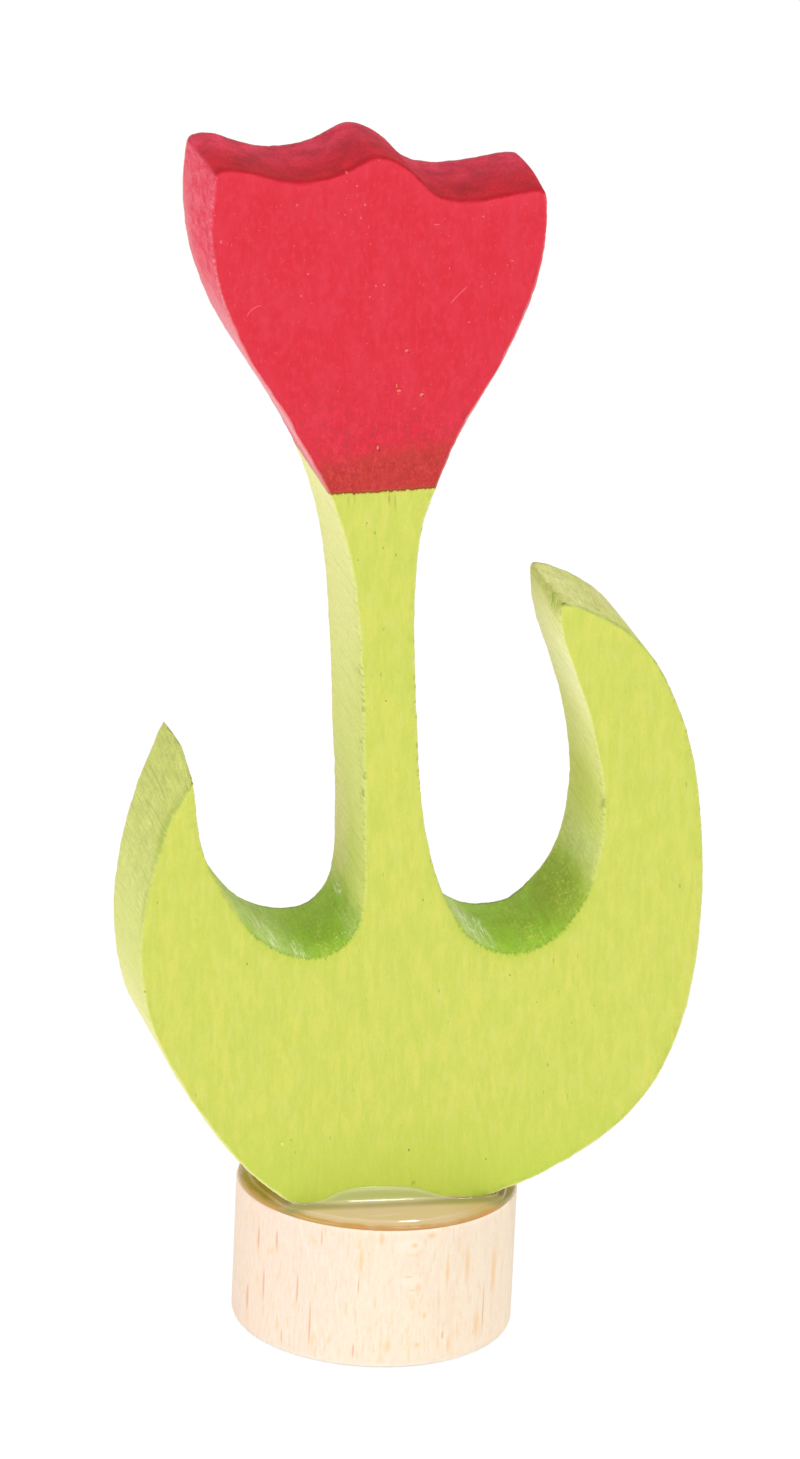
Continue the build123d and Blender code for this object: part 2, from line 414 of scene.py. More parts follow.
# Single painted sparkles, small highlights, on the cut beside the stem: (u, depth, v), size
sparkles = [((-1.83, 0.6, 23.9), 0.16), ((-1.84, 0.4, 23.55), 0.12), ((-1.86, 0.9, 23.1), 0.13),
            ((-2.45, 2.6, 20.9), 0.16), ((-2.2, 0.9, 21.0), 0.2), ((-2.18, 0.5, 20.9), 0.14),
            ((-2.3, 1.4, 21.4), 0.14), ((-3.0, -3.6, 19.6), 0.16), ((-2.9, -3.9, 19.8), 0.1),
            ((-3.4, -3.4, 19.3), 0.12), ((-1.95, 1.9, 22.4), 0.1), ((-1.8, -3.6, 22.6), 0.1),
            ((-1.8, -4.6, 25.3), 0.12), ((-1.8, 0.2, 26.0), 0.1), ((-1.8, 1.6, 28.3), 0.1)]
# Marks on the front: (u, v, half width, half height), in millimetres
stainMarks = {
    "runs": [(-2.72, 50.8, 0.10, 0.75), (-2.30, 50.95, 0.08, 0.5), (0.05, 50.85, 0.12, 0.6), (0.46, 50.5, 0.10, 1.0)],
    "blotches": [(2.5, 54.7, 0.7, 0.5), (-0.6, 54.5, 0.5, 0.35)],
    "pores": [(-1.48, 49.27, 0.05, 0.13), (-0.94, 48.54, 0.05, 0.16), (-0.4, 47.45, 0.05, 0.13),
              (0.48, 46.9, 0.05, 0.17), (-0.28, 36.69, 0.07, 0.10), (2.19, 22.26, 0.06, 0.12),
              (-10.02, 18.71, 0.06, 0.12), (-17.06, 17.32, 0.07, 0.09), (1.1, 4.1, 0.09, 0.15),
              (6.51, 2.92, 0.08, 0.09), (8.23, 16.28, 0.07, 0.09), (-2.11, 46.74, 0.05, 0.10)],
    "specks": [(-2.62, 73.32, 0.09, 0.08), (-1.96, 72.4, 0.10, 0.07), (-1.43, 71.09, 0.11, 0.09),
               (-2.78, 70.5, 0.07, 0.06), (-1.71, 70.23, 0.06, 0.13), (-5.3, 66.66, 0.09, 0.09),
               (-0.74, 65.54, 0.08, 0.10), (-0.2, 65.58, 0.09, 0.10), (2.14, 72.89, 0.08, 0.10),
               (-5.98, 71.38, 0.07, 0.12), (-5.78, 65.2, 0.09, 0.08), (-1.15, 64.82, 0.08, 0.08),
               (6.53, 69.79, 0.09, 0.09), (4.23, 66.42, 0.07, 0.08), (8.47, 66.65, 0.09, 0.09),
               (8.17, 66.37, 0.07, 0.06), (7.32, 65.84, 0.07, 0.07), (5.54, 62.64, 0.09, 0.08),
               (-11.08, 69.22, 0.09, 0.15), (-11.46, 71.03, 0.06, 0.06), (3.4, 69.45, 0.30, 0.035)],
    "nicks": [(1.32, 60.96, 0.16, 0.13), (2.32, 57.86, 0.18, 0.15), (-0.69, 54.42, 0.10, 0.19),
              (0.76, 58.25, 0.20, 0.10), (0.62, 58.6, 0.07, 0.16)],
    "pits": [(-0.58, 54.24, 0.08, 0.12), (1.42, 60.85, 0.06, 0.07), (2.42, 57.74, 0.07, 0.08)],
    "chips": [(-7.77, 5.39, 0.14, 0.18)],
    "hairs": [((-9.35, 64.16), (-9.01, 64.54), (-8.23, 64.71)), ((4.2, 63.9), (4.82, 64.56), (5.29, 64.98))],
}


def faceSpots(kind):
    depth = flower["frontY"]
    return [((u, depth, v), (wide, 0.8, tall)) for u, v, wide, tall in stainMarks[kind]]


def arcThrough(first, second, third):
    (ax, ay), (bx, by), (cx, cy) = first, second, third
    spread = 2 * (ax * (by - cy) + bx * (cy - ay) + cx * (ay - by))
    a2, b2, c2 = ax * ax + ay * ay, bx * bx + by * by, cx * cx + cy * cy
    centre = ((a2 * (by - cy) + b2 * (cy - ay) + c2 * (ay - by)) / spread,
              (a2 * (cx - bx) + b2 * (ax - cx) + c2 * (bx - ax)) / spread)
    return centre, math.dist(centre, first), math.dist(first, third) * 0.56


def hairMask(place):
    flat = vectorCalc("MULTIPLY", place, (1, 0, 1))
    masks = []
    for points in stainMarks["hairs"]:
        centre, radius, reach = arcThrough(*points)
        masks.append(useGroup(hairGroup, {
            "Place": flat, "Circle Centre": (centre[0], 0, centre[1]), "Radius": radius, "Width": 0.035,
            "Reach": reach, "Middle": (points[1][0], 0, points[1][1])})["Mask"])
    return reduce(most, masks)


def makeStainedWood():
    look = coloursOf(stainLook)
    material, tree, shader = newMaterial("stainedWood")
    footUp = flower["footHeight"]
    place = objectPlace(tree, (0, flower["lean"], 0), (-footUp * leanSin, 0, -footUp * leanCos))
    across, depth, height = parts(place)
    rim, rimPath, facing, hollow, edgeNear = (
        out(putNode(tree, "ShaderNodeAttribute", attribute_name=name), "Fac")
        for name in ("rimShare", "rimPath", "rimFacing", "hollow", "edgeNear"))
    face = 1.0 - rim
    arris = calc("MULTIPLY", rim * face, 4.0, clamp=True)
    atFront = between(depth, flower["frontY"] + 0.75, flower["frontY"] + 0.15)
    nearFront = between(depth, flower["frontY"] + 2.0, flower["frontY"] + 0.3)
    atBack = between(depth, flower["backY"] - 0.6, flower["backY"] - 0.25)

    grain = useGroup(grainGroup, {
        "Place": place, "Streak Width": 0.5, "Streak Length": 2.0, "Fibre Width": 0.19, "Fibre Length": 0.7,
        "Grit Size": 0.13,
    })
    coarse = useGroup(grainGroup, {
        "Place": place, "Streak Width": 1.5, "Streak Length": 3.0, "Fibre Width": 0.34, "Fibre Length": 1.8,
        "Shift": 40.0,
    })
    saw = useGroup(sawGroup, {"Along": rimPath, "Depth": depth, "Spacing": 0.15, "Drift": 0.04})
    streaks, fibres, grit = grain["Streaks"], grain["Fibres"], grain["Grit"]
    blotches, threads, grit2 = coarse["Streaks"], coarse["Fibres"], coarse["Grit"]

    # Green
    green = layered(look, look["greenFace"], (between(blotches, 0.34, 0.66), "greenWarm"),
                    (between(streaks, 0.62, 0.38, 0.0, 0.6), "greenCool"),
                    (between(threads, 0.5, 0.7, 0.0, 0.4), "greenMilky"))
    green = toned(green, fibres, 0.015)
    green = layered(look, green, (between(height, 8.0, 0.5, 0.0, 0.6), "greenFoot"),
                    (hollow * between(threads, 0.35, 0.6, 0.25, 0.75), "halo"))
    # The cuts' colour by facing: paler where a cut faces down, partly thinner stain and partly painted light from
    # below; richer where it faces up, as the end grain takes more stain
    greenRim = layered(look, look["greenLow"], (between(facing, -0.5, 0.05), "greenSide"),
                       (between(facing, 0.05, 0.45), "greenHigh"), (between(facing, 0.45, 0.85), "greenEnd"))
    wetEdge = noise(place, (0.9, 0.4, 0.9), 4.0, 0.65, 33.0) - 0.5
    wet = between(wetEdge * 0.9 + hollow, 0.05, 0.95)
    # The hollows' wet stain, lighter towards their back: painted light that lifts the shade there
    soaked = layered(look, look["greenHollow"], (between(depth, -3.5, 4.5, 0.0, 0.75), "hollowBackLight"),
                     (saw["Streaks"] * 0.1, "hollowPale"))
    # A pale haze over the hollows, partly paler stain and partly a painted sheen
    haze = noise(place, (0.8, 0.3, 0.8), 3.0, 0.6, 91.0)
    haze = (saw["Streaks"] - 0.5) * 0.12 + haze
    greenRim = blend(wet, greenRim, soaked)
    rimPlace = joined(rimPath, depth)
    hatch = noise(rimPlace, (2.6, 0.55, 1.0), 2.0, 0.6, 19.0)
    mixed = grit + threads
    beds = {"hollowPale": (haze, 0.3, 0.66, 0.5), "stemMoss": (hatch, 0.42, 0.62, 0.5),
            "paintedLightPale": (mixed, 0.6, 1.1, 0.75), "speckled": (mixed, 0.92, 1.12, 0.2)}
    for centre, halfSize, softness, tint, strength in stainTints:
        spot = spotMask(place, [(centre, halfSize)], softness)
        bed, low, high, weakest = beds.get(tint, (mixed, 0.7, 1.15, 0.45))
        mottled = spot * between(bed, low, high, weakest, 1.0)
        greenRim = blend(mottled * strength, greenRim, look[tint])
    onTip = spotMask(place, fleckPlaces[-1:], 0.7)
    flecks = between(noise(place, (4.0, 2.2, 4.0), 3.0, 0.7, 77.0), 0.53, 0.62) * most(wet, onTip)
    flecked = spotMask(place, fleckPlaces, 0.7)
    greenRim = blend(flecks * (flecked * 0.6 + 0.12), greenRim, look["hollowFleck"])
    # Painted highlights: pale glint streaks and sparkles, where the roughness also drops
    glints = saw["Glints"] * spotMask(place, glintPlaces, 0.6)
    glints = glints * between(grit, 0.38, 0.48)
    sparkling = [(centre, (0.9 * size, 1.2 * size, 1.1 * size)) for centre, size in sparkles]
    sparkling = spotMask(place, sparkling, 0.5)
    glints = most(glints, sparkling * between(grit, 0.36, 0.5))
    greenRim = blend(glints * 0.9, greenRim, look["glint"])
    ticks = noise(rimPlace, (3.2, 0.8, 1.0), 2.0, 0.6, 11.0)
    ticks = between(ticks, 0.53, 0.64, 0.0, 0.6) * nearFront
    ticked = between(height, 25.0, 29.0, 0.3, 1.0) * between(height, 44.0, 37.0, 0.3, 1.0)
    ticks = ticks * (ticked * between(across, -6.0, -4.0, 0.15, 1.0))
    greenRim = blend(ticks * between(facing, -0.35, 0.1), greenRim, look["tick"])
    # Painted shade along the front arris of the up-facing cuts
    shadowed = atFront * between(facing, 0.3, 0.6, 0.0, 0.4)
    greenRim = blend(shadowed, greenRim, look["greenDeep"])
    fringe = noise(rimPlace, (5.0, 2.5, 1.0), 2.0, 0.7, 57.0)
    fringed = atFront * wet
    greenRim = layered(look, greenRim, (between(fringe, 0.52, 0.62, 0.0, 0.5) * fringed, "tick"),
                       (between(fringe, 0.46, 0.38, 0.0, 0.6) * fringed, "hollowFleck"))
    green = blend(rim, green, greenRim)

    # Red
    red = layered(look, look["redFace"], (between(blotches, 0.38, 0.66, 0.0, 0.45), "redPale"),
                  (between(streaks, 0.42, 0.62, 0.0, 0.4), "redFace"),
                  (between(fibres, 0.48, 0.72, 0.0, 0.38), "redPale"))
    mottle = noise(place, (2.4, 2.4, 1.8), 3.0, 0.6, 83.0)
    red = blend(between(mottle, 0.48, 0.66, 0.0, 0.46), red, look["redPale"])
    nearLine = between(height, flower["stainHeight"] + 9.0, flower["stainHeight"] + 2.5)
    stained = between(mottle, 0.52, 0.38, 0.0, 0.75) * nearLine
    red = blend(stained, red, look["redHigh"])
    red = toned(red, threads, 0.03)
    red = blend(nearLine, red, toned(red, grit2, 0.12))
    red = blend(edgeNear * 0.25, red, look["redPale"])
    dots = noise(place, (7.0, 7.0, 5.0), 0.0, 0.5, 61.0)
    red = blend(between(dots, 0.78, 0.86, 0.0, 0.45) * face, red, look["speck"])
    # As on the green: paler where the cut faces down, partly painted light from below; deeper red on the up-facing end
    # grain
    redRim = blend(between(facing, -0.7, -0.15), look["redLow"], look["redSide"])
    patches = between(noise(place, (1.3, 0.5, 1.3), 4.0, 0.75, 14.0), 0.4, 0.6, 0.0, 0.8)
    hot = between(depth, 3.5, -4.5, 0.0, 0.25) + patches
    redRim = blend(calc("MULTIPLY", hot, between(facing, -0.6, -0.1), clamp=True), redRim, look["redHot"])
    paler = between(depth, 1.0, 4.6, 0.0, 0.8) * between(facing, 0.2, -0.1)
    redRim = layered(look, redRim, (paler, "redBack"), (between(grit2, 0.54, 0.72, 0.0, 0.3), "redFleck"))
    pale = between(height, 68.0, 58.0, 0.0, 0.95) * between(depth, 3.0, -3.0, 0.4, 1.0)
    redRim = blend(pale, redRim, look["redLow"])
    strokes = between(noise(rimPlace, (4.5, 1.2, 1.0), 4.0, 0.7, 67.0), 0.52, 0.68, 0.0, 0.6)
    strokes = strokes * between(height, 74.0, 62.0, 0.12, 0.8)
    # Pale streaks on the blossom's cut, and a dotted pale line on its front arris that is a painted highlight
    dottedArrisLight = between(noise(rimPlace, (3.6, 1.6, 1.0), 3.0, 0.7, 97.0), 0.48, 0.62, 0.0, 0.6)
    strokes = most(strokes, dottedArrisLight * atFront)
    redRim = layered(look, redRim, (strokes * between(facing, 0.3, 0.0), "redFleck"),
                     (between(facing, 0.25, 0.5), "redHigh"), (between(facing, 0.45, 0.75), "redEnd"))
    upward = between(facing, 0.2, 0.6)
    clouds = noise(place, (0.5, 0.5, 0.5), 4.0, 0.7, 71.0)
    redRim = blend(between(clouds, 0.46, 0.66, 0.0, 0.75) * upward, redRim, look["redDeep"])
    # Towards the back of the top a pale dusty pink, partly dust and partly a painted sheen
    dustAndSheen = between(clouds, 0.6, 0.36, 0.5, 1.0) * between(depth, -3.5, 4.5)
    redRim = blend(dustAndSheen * upward, redRim, look["redDustAndSheen"])
    stipple = noise(place, (6.0, 6.0, 6.0), 3.0, 0.75, 53.0)
    patchy = noise(place, (0.6, 0.35, 0.6), 2.0, 0.5, 37.0)
    redRim = blend(upward, redRim, toned(toned(redRim, stipple, 0.2), patchy, -0.18))
    front = between(depth, flower["frontY"] + 1.3, flower["frontY"] + 0.35) * between(facing, 0.35, 0.8)
    redRim = blend(front, redRim, look["redArris"])
    red = blend(rim, red, redRim)

    # The stains meet at a jagged line, with the red lying over the green above it
    teeth = noise(place, (3.4, 1.8, 0.5), 3.0, 0.7, 5.0)
    level = (teeth - 0.5) * 0.5 + height
    rising = (depth + 5.4) * 0.085 + 0.06
    climbs = between(across, between(depth, -4.0, 4.0, -2.3, 0.5), between(depth, -4.0, 4.0, -3.1, -4.6))
    climbs = climbs * rising
    overLine = level - (climbs + flower["stainHeight"])
    redShare = between(overLine, -0.03, 0.03)
    fuzz = noise(place, (1.0, 1.0, 0.8), 4.0, 0.72, 9.0)
    overlapTop = (fuzz - 0.5) * 3.2 + overLine
    overlapTop = (grit - 0.5) * 3.0 + overlapTop
    reach = least(across, 3.0) * look["overlapRise"] + look["overlapHeight"]
    overlap = between(overlapTop - reach, 0.6, -0.8, 0.0, 0.95)
    soaked = spotMask(place, faceSpots("blotches"), 0.9) * between(grit, 0.4, 0.56)
    overlap = most(overlap, soaked * 0.6)
    over = layered(look, look["overlap"], (between(grit + fuzz, 0.9, 1.15, 0.0, 0.6), "overlapDark"),
                   (between(grit2 + mottle, 1.0, 1.25, 0.0, 0.7), "overlapPink"))
    over = toned(toned(over, grit2, 0.06), fibres, 0.05)
    red = blend(overlap * (1.0 - rim * 0.75), red, over)
    colour = blend(redShare, green, red)
    runs = spotMask(place, faceSpots("runs"), 0.9) * between(threads, 0.3, 0.6)
    colour = blend(runs * 0.5, colour, look["bleed"])
    offLine = abs(overLine)
    colour = blend(between(offLine, look["lineWidth"], 0.2, 0.35, 0.0), colour, look["bleed"])
    under = between(overLine, -0.26, -0.16) * between(overLine, -0.05, -0.12)
    under = under * face * between(threads, 0.46, 0.6, 0.1, 0.55)
    colour = blend(under, colour, look["under"])
    onLine = between(offLine, look["lineWidth"] * 0.5, look["lineWidth"], 0.9, 0.0) * (1.0 - rim * 0.6)
    colour = blend(onLine, colour, look["line"])

    # Saw lines, arrises with a painted highlight and a painted shade, pores and marks
    calm = most(wet * 0.6, redShare * 0.5)
    sawLines = weigh(calm, saw["Lines"], 0.5)
    sawn = toned(toned(colour, sawLines, 0.06), grit, 0.065)
    rough = toned(toned(sawn, grit2, 0.08), sawLines, 0.06)
    rough = toned(rough, noise(place, (1.4, 0.7, 0.9), 3.0, 0.6, 73.0), 0.09)
    sawn = blend(most(between(facing, 0.0, 0.35), redShare * 0.3), sawn, rough)
    colour = blend(rim, toned(colour, grit, 0.022), sawn)
    onGreen = rim * (1.0 - redShare)
    scored = spotMask(place, scoredPlaces, 0.8)
    scored = onGreen * (scored * 0.25 + 0.25)
    colour = layered(look, colour, (saw["Scratches"] * scored, "fray"),
                     (saw["Grooves"] * scored * 0.5, "tick"))
    # A painted highlight: a pale line on the lower front arris, where the rounded edge catches the light
    low = arris * atFront * between(facing, 0.0, -0.3, 0.0, 0.18)
    colour = blend(low * (1.0 - redShare * 0.7), colour, look["fray"])
    # The back arris: pale where the cut faces sideways or down, and a greyer painted shade where it faces up
    back = rim * (atBack * between(grit, 0.3, 0.6, 0.5, 1.0))
    colour = layered(look, colour, (back * between(facing, 0.75, 0.5, 0.0, 0.5), "backPale"),
                     (back * between(facing, 0.6, 0.85, 0.0, 0.5), "backArrisShade"))
    pores = grain["Pores"] * (1.0 - redShare)
    pores = most(pores * 0.4, spotMask(place, faceSpots("pores"), 0.6) * 0.75)
    colour = blend(pores, colour, look["pore"])
    for kind, softness, strength, tint in (("specks", 0.7, 0.75, "speck"), ("nicks", 0.6, 0.85, "nick"),
                                           ("pits", 0.6, 0.85, "nickPit"), ("chips", 0.5, 0.8, "fray")):
        marks = spotMask(place, faceSpots(kind), softness)
        colour = blend(marks * strength, colour, look[tint])
    colour = blend(hairMask(place) * 0.6, colour, look["hair"])
    roughness = fibres * 0.16 + (look["faceRoughness"] - 0.08)
    roughness = weigh(rim, roughness, look["sideRoughness"])
    roughness = weigh(glints, roughness, look["glintRoughness"])
    faceHeight = grain["Relief"] * (1.3 - rim)
    bumpHeight = saw["Lines"] * rim * 1.2 + faceHeight
    bump = putNode(tree, "ShaderNodeBump", {"Height": bumpHeight, "Strength": 0.5, "Distance": look["bumpDepth"]})
    dress(shader, {"Base Color": colour, "Roughness": roughness, "Specular IOR Level": look["specular"],
                   "Normal": bump})
    return material


# Bare beech, for the plug and the dowel
beechLook = {
    "base": (255, 236, 213), "pink": (253, 229, 211), "pale": (255, 243, 223), "fleck": (238, 188, 152),
    "ring": (252, 224, 188), "amber": (252, 216, 170), "foot": (255, 252, 242), "endGrain": (222, 190, 146),
    "roughness": 0.62, "specular": 0.3, "bumpDepth": 0.00005,
}
# Flecks that show on the plug's front: (x, y, z), half width, half height
beechFlecks = {
    "fleck": [((-8.13, -5.38, 8.21), 0.07, 1.0), ((-9.02, -3.71, 7.71), 0.06, 1.2), ((-8.7, -4.4, 4.49), 0.06, 1.6),
              ((-6.88, -6.91, 5.17), 0.07, 1.5), ((-3.14, -9.23, 6.23), 0.06, 0.8), ((6.11, -7.6, 3.4), 0.07, 2.6),
              ((-6.08, -7.63, 2.92), 0.08, 2.2), ((-9.4, -2.6, 2.93), 0.06, 1.3), ((-5.58, -8.0, 9.3), 0.06, 0.7),
              ((-3.31, -9.17, 1.37), 0.09, 0.7), ((-7.66, -6.04, 1.31), 0.05, 0.7), ((2.9, -9.3, 2.3), 0.10, 0.4)],
    "amber": [((-3.04, -9.26, 8.0), 0.22, 1.3), ((3.06, -9.26, 7.0), 0.20, 1.9), ((-1.74, -9.59, 9.7), 0.30, 0.7),
              ((1.75, -9.59, 9.8), 0.5, 0.35), ((0.56, -9.73, 9.2), 0.35, 0.28), ((1.49, -9.64, 3.96), 0.22, 0.35),
              ((-1.0, -9.7, 1.83), 0.30, 0.7), ((3.38, -9.15, 1.5), 0.20, 1.0), ((1.05, -9.69, 1.8), 0.3, 0.3),
              ((4.6, -8.6, 7.2), 0.3, 2.2), ((6.9, -6.9, 6.0), 0.35, 2.8), ((5.6, -7.98, 2.4), 0.3, 1.6),
              ((0.2, -9.75, 6.9), 0.5, 0.12), ((0.6, -9.73, 5.9), 0.4, 0.1)],
    "pale": [((0.16, -9.75, 9.1), 1.35, 0.75), ((0.3, -9.73, 6.6), 1.2, 0.5)],
}
# A ripple in the grain on the plug's front
beechRipple = {"Circle Centre": (0.5, 0.0, 11.4), "Middle": (0.5, 0.0, 10.8), "Radius": 0.75, "Width": 0.2,
               "Reach": 0.8}


def makeBeech():
    look = coloursOf(beechLook)
    material, tree, shader = newMaterial("bareBeech")
    place = objectPlace(tree)
    grain = useGroup(grainGroup, {
        "Place": place, "Streak Width": 0.8, "Streak Length": 5.0, "Fibre Width": 0.15, "Fibre Length": 0.9,
        "Grit Size": 0.14, "Shift": 12.0,
    })
    axes = parts(place)
    colour = layered(look, look["base"], (between(axes[0], -1.0, -7.0), "pink"),
                     (between(grain["Streaks"], 0.42, 0.66, 0.0, 0.45), "pink"))
    bend = noise(place, (0.12, 0.12, 0.07), 2.0, 0.5, 3.0)
    ringPlace = bend * 7.0 + (axes[0] * 0.35 + axes[1])
    rings = out(putNode(tree, "ShaderNodeTexNoise", {"W": ringPlace, "Scale": 1.1, "Detail": 2.0},
                        noise_dimensions="1D"))
    colour = layered(look, colour, (between(rings, 0.54, 0.68, 0.0, 0.3), "ring"),
                     (between(grain["Fibres"], 0.46, 0.66, 0.0, 0.55), "pale"))
    threads = noise(place, (5.5, 5.5, 0.6), 2.0, 0.55, 23.0)
    colour = blend(between(threads, 0.56, 0.74, 0.0, 0.28), colour, look["fleck"])
    rays = noise(place, (2.2, 2.2, 0.7), 2.0, 0.5, 51.0)
    colour = blend(between(rays, 0.58, 0.72, 0.0, 0.5), colour, look["amber"])
    colour = toned(colour, grain["Grit"], 0.026)
    ripple = useGroup(hairGroup, {"Place": vectorCalc("MULTIPLY", place, (1.0, 0.0, 1.25)), **beechRipple})["Mask"]
    colour = blend(ripple * 0.5, colour, look["amber"])
    for tint, softness, strength in (("pale", 0.5, 0.6), ("amber", 0.9, 0.95), ("fleck", 0.6, 0.85)):
        spots = [(centre, (wide, 0.8, tall)) for centre, wide, tall in beechFlecks[tint]]
        colour = blend(spotMask(place, spots, softness) * strength, colour, look[tint])
    up = abs(parts(out(putNode(tree, "ShaderNodeNewGeometry"), "Normal"))[2])
    # Darker end grain on top, and paler towards the foot: painted light against the contact shadow there
    colour = layered(look, colour, (between(up, 0.75, 0.95), "endGrain"),
                     (between(axes[2], 0.7, 0.1, 0.0, 0.8), "foot"))
    bump = putNode(tree, "ShaderNodeBump", {"Height": grain["Relief"], "Strength": 0.4, "Distance": look["bumpDepth"]})
    dress(shader, {"Base Color": colour, "Roughness": grain["Fibres"] * 0.2 + (look["roughness"] - 0.1),
                   "Specular IOR Level": look["specular"], "Normal": bump})
    return material


# Dried glue, with painted shade where the board overhangs it
glueLook = {
    "pool": (234, 204, 168), "rim": (214, 158, 84), "fillet": (202, 207, 120), "wedgeShade": (175, 152, 14),
    "toe": (158, 154, 92), "rimGold": (208, 164, 82), "poolEnd": (212, 178, 126),
    "roughness": 0.09, "transmission": 0.15, "specular": 0.55, "ior": 1.48,
}


def makeGlueMaterial():
    look = coloursOf(glueLook)
    material, tree, shader = newMaterial("driedGlue")
    place = objectPlace(tree)
    across, depth, height = parts(place)
    flat = joined(across, depth)
    radius = vectorCalc("LENGTH", flat)
    cloud = noise(place, (0.5, 0.5, 0.5), 2.0, 0.5, 3.0)
    edge = between(cloud * 0.7 + radius, 9.55, 10.0)
    leftward = between(across, -2.0, -7.5)
    pool = blend(between(across, 2.5, 7.5), look["pool"], look["poolEnd"])
    colour = blend(edge, pool, blend(leftward, look["rim"], look["rimGold"]))
    raised = between(height, flower["footHeight"] + 0.52, flower["footHeight"] + 0.8)
    colour = blend(raised, colour, look["fillet"])
    # Painted shade and a painted reflection of the board on the glue under the board's lower-left edge
    shadeBeneath = between(depth, -6.8, -6.0) * between(across, -8.4, -7.2)
    shadeBeneath = shadeBeneath * between(height, flower["footHeight"] + 0.7, flower["footHeight"] + 0.5)
    colour = blend(shadeBeneath * 0.8, colour, look["toe"])
    # The glue left of the board, in its shade: a darker olive that is painted shade and a painted reflection of the
    # board
    side = between(across * -1.0 + depth * 0.35, 5.4, 7.6)
    colour = blend(side * (1.0 - edge), colour, look["wedgeShade"])
    dress(shader, {"Base Color": colour, "Roughness": look["roughness"], "Transmission Weight": look["transmission"],
                   "IOR": look["ior"], "Specular IOR Level": look["specular"]})
    return material


stainedWood, bareBeech, driedGlue = makeStainedWood(), makeBeech(), makeGlueMaterial()
print("Materials made")


def gridMesh(name, vertices, faces, attributes=None):
    mesh = bpy.data.meshes.new(name)
    mesh.from_pydata([tuple(v) for v in vertices], [], [tuple(map(int, f)) for f in faces])
    mesh.validate()
    for key, values in (attributes or {}).items():
        layer = mesh.attributes.new(key, "FLOAT", "POINT")
        layer.data.foreach_set("value", np.asarray(values, np.float32))
    mesh.polygons.foreach_set("use_smooth", [True] * len(mesh.polygons))
    thing = bpy.data.objects.new(name, mesh)
    bpy.context.scene.collection.objects.link(thing)
    return thing


def turnedOutward(thing):
    mesh = bmesh.new()
    mesh.from_mesh(thing.data)
    bmesh.ops.recalc_face_normals(mesh, faces=mesh.faces)
    mesh.to_mesh(thing.data)
    mesh.free()
    return thing


def setInput(modifier, name, value):
    for item in modifier.node_group.interface.items_tree:
        if item.item_type == "SOCKET" and item.in_out == "INPUT" and item.name == name:
            modifier[item.identifier] = value
            return
    raise KeyError(name)


def bakeNodes(thing, group, values):
    modifier = thing.modifiers.new("shape", "NODES")
    modifier.node_group = group
    for name, value in values.items():
        setInput(modifier, name, value)
    bpy.context.view_layer.update()
    graph = bpy.context.evaluated_depsgraph_get()
    made = bpy.data.meshes.new_from_object(thing.evaluated_get(graph))
    thing.modifiers.remove(modifier)
    old = thing.data
    thing.data = made
    bpy.data.meshes.remove(old)
    made.name = thing.name
    made.polygons.foreach_set("use_smooth", [True] * len(made.polygons))
    print(f"{thing.name}: {len(made.vertices)} vertices, {sum(len(p.vertices) - 2 for p in made.polygons)} triangles")
    return thing


# The sawn board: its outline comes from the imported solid's front face
boardShape = {
    "step": 0.17, "cornerPasses": 2, "edgeRounding": 0.20, "backRounding": 0.22, "roundingRows": 4, "wallRows": 20,
    "faceGrid": 0.55, "cornerAngle": 30, "bow": 0.13, "edgeReach": 1.3, "hollowReach": 0.7, "leftTipWear": 0.95,
    "leftTipLift": 0.6, "rightTipLift": 0.14, "rightTipShift": 0.4, "leftTipBulge": 0.3, "rightCornerBulge": 0.22,
    "blossomLeftReach": 0.5, "blossomLeftPasses": 2, "blossomRightReach": 0.75, "blossomRightPasses": 8,
    "tipReach": 0.35, "tipPasses": 2, "ridgeReach": 0.5, "pitDepth": 0.09, "seed": 7, "lowestCorner": 30,
    "rowSpacing": 0.866, "clearOfRing": 0.45, "markSteps": 6, "markReach": 2.2, "bowStart": (20, 32),
    "bowEnd": (40, 50), "leftTipSlide": 0.12, "rightCorner": ((11.0, 70.8), 1.3),
    "unevenness": ((160, 0.3), (420, 0.2)), "curvaturePasses": 40,
}
# Where the cut strays towards the back: (u, v), reach, sideways, upwards
backDrifts = [((11.0, 70.3), 1.3, 0.6, 0.0), ((9.6, 71.3), 1.7, 0.18, 0.1), ((5.2, 71.0), 3.0, 0.0, 0.2),
              ((-9.9, 73.7), 1.0, 0.0, 0.15),
              ((-1.9, 28.6), 3.5, 0.13, 0.0), ((-16.0, 27.5), 5.0, -0.13, 0.0), ((-16.4, 14.0), 2.5, -0.20, 0.0),
              ((-13.7, 32.4), 1.0, 0.12, 0.14), ((11.6, 42.3), 0.9, -0.20, 0.0), ((-5.8, 18.7), 2.0, 0.0, 0.12),
              ((8.0, 17.9), 2.0, 0.0, 0.12), ((12.3, 19.6), 1.6, -0.15, 0.12)]

# And where the front arris strays
frontDrifts = [((-5.6, 54.6), 2.6, -0.2, 0.0), ((-8.6, 60.5), 4.0, -0.1, 0.0)]


def ringMean(values):
    return (np.roll(values, 1, 0) + 2 * values + np.roll(values, -1, 0)) / 4


def pathAlong(points):
    return np.concatenate([[0], np.cumsum(np.linalg.norm(np.diff(points, axis=0), axis=1))])


def spacedPoints(points, count):
    path = pathAlong(points)
    spaced = np.linspace(0, path[-1], count, endpoint=False)
    return np.column_stack([np.interp(spaced, path, points[:, k]) for k in (0, 1)])


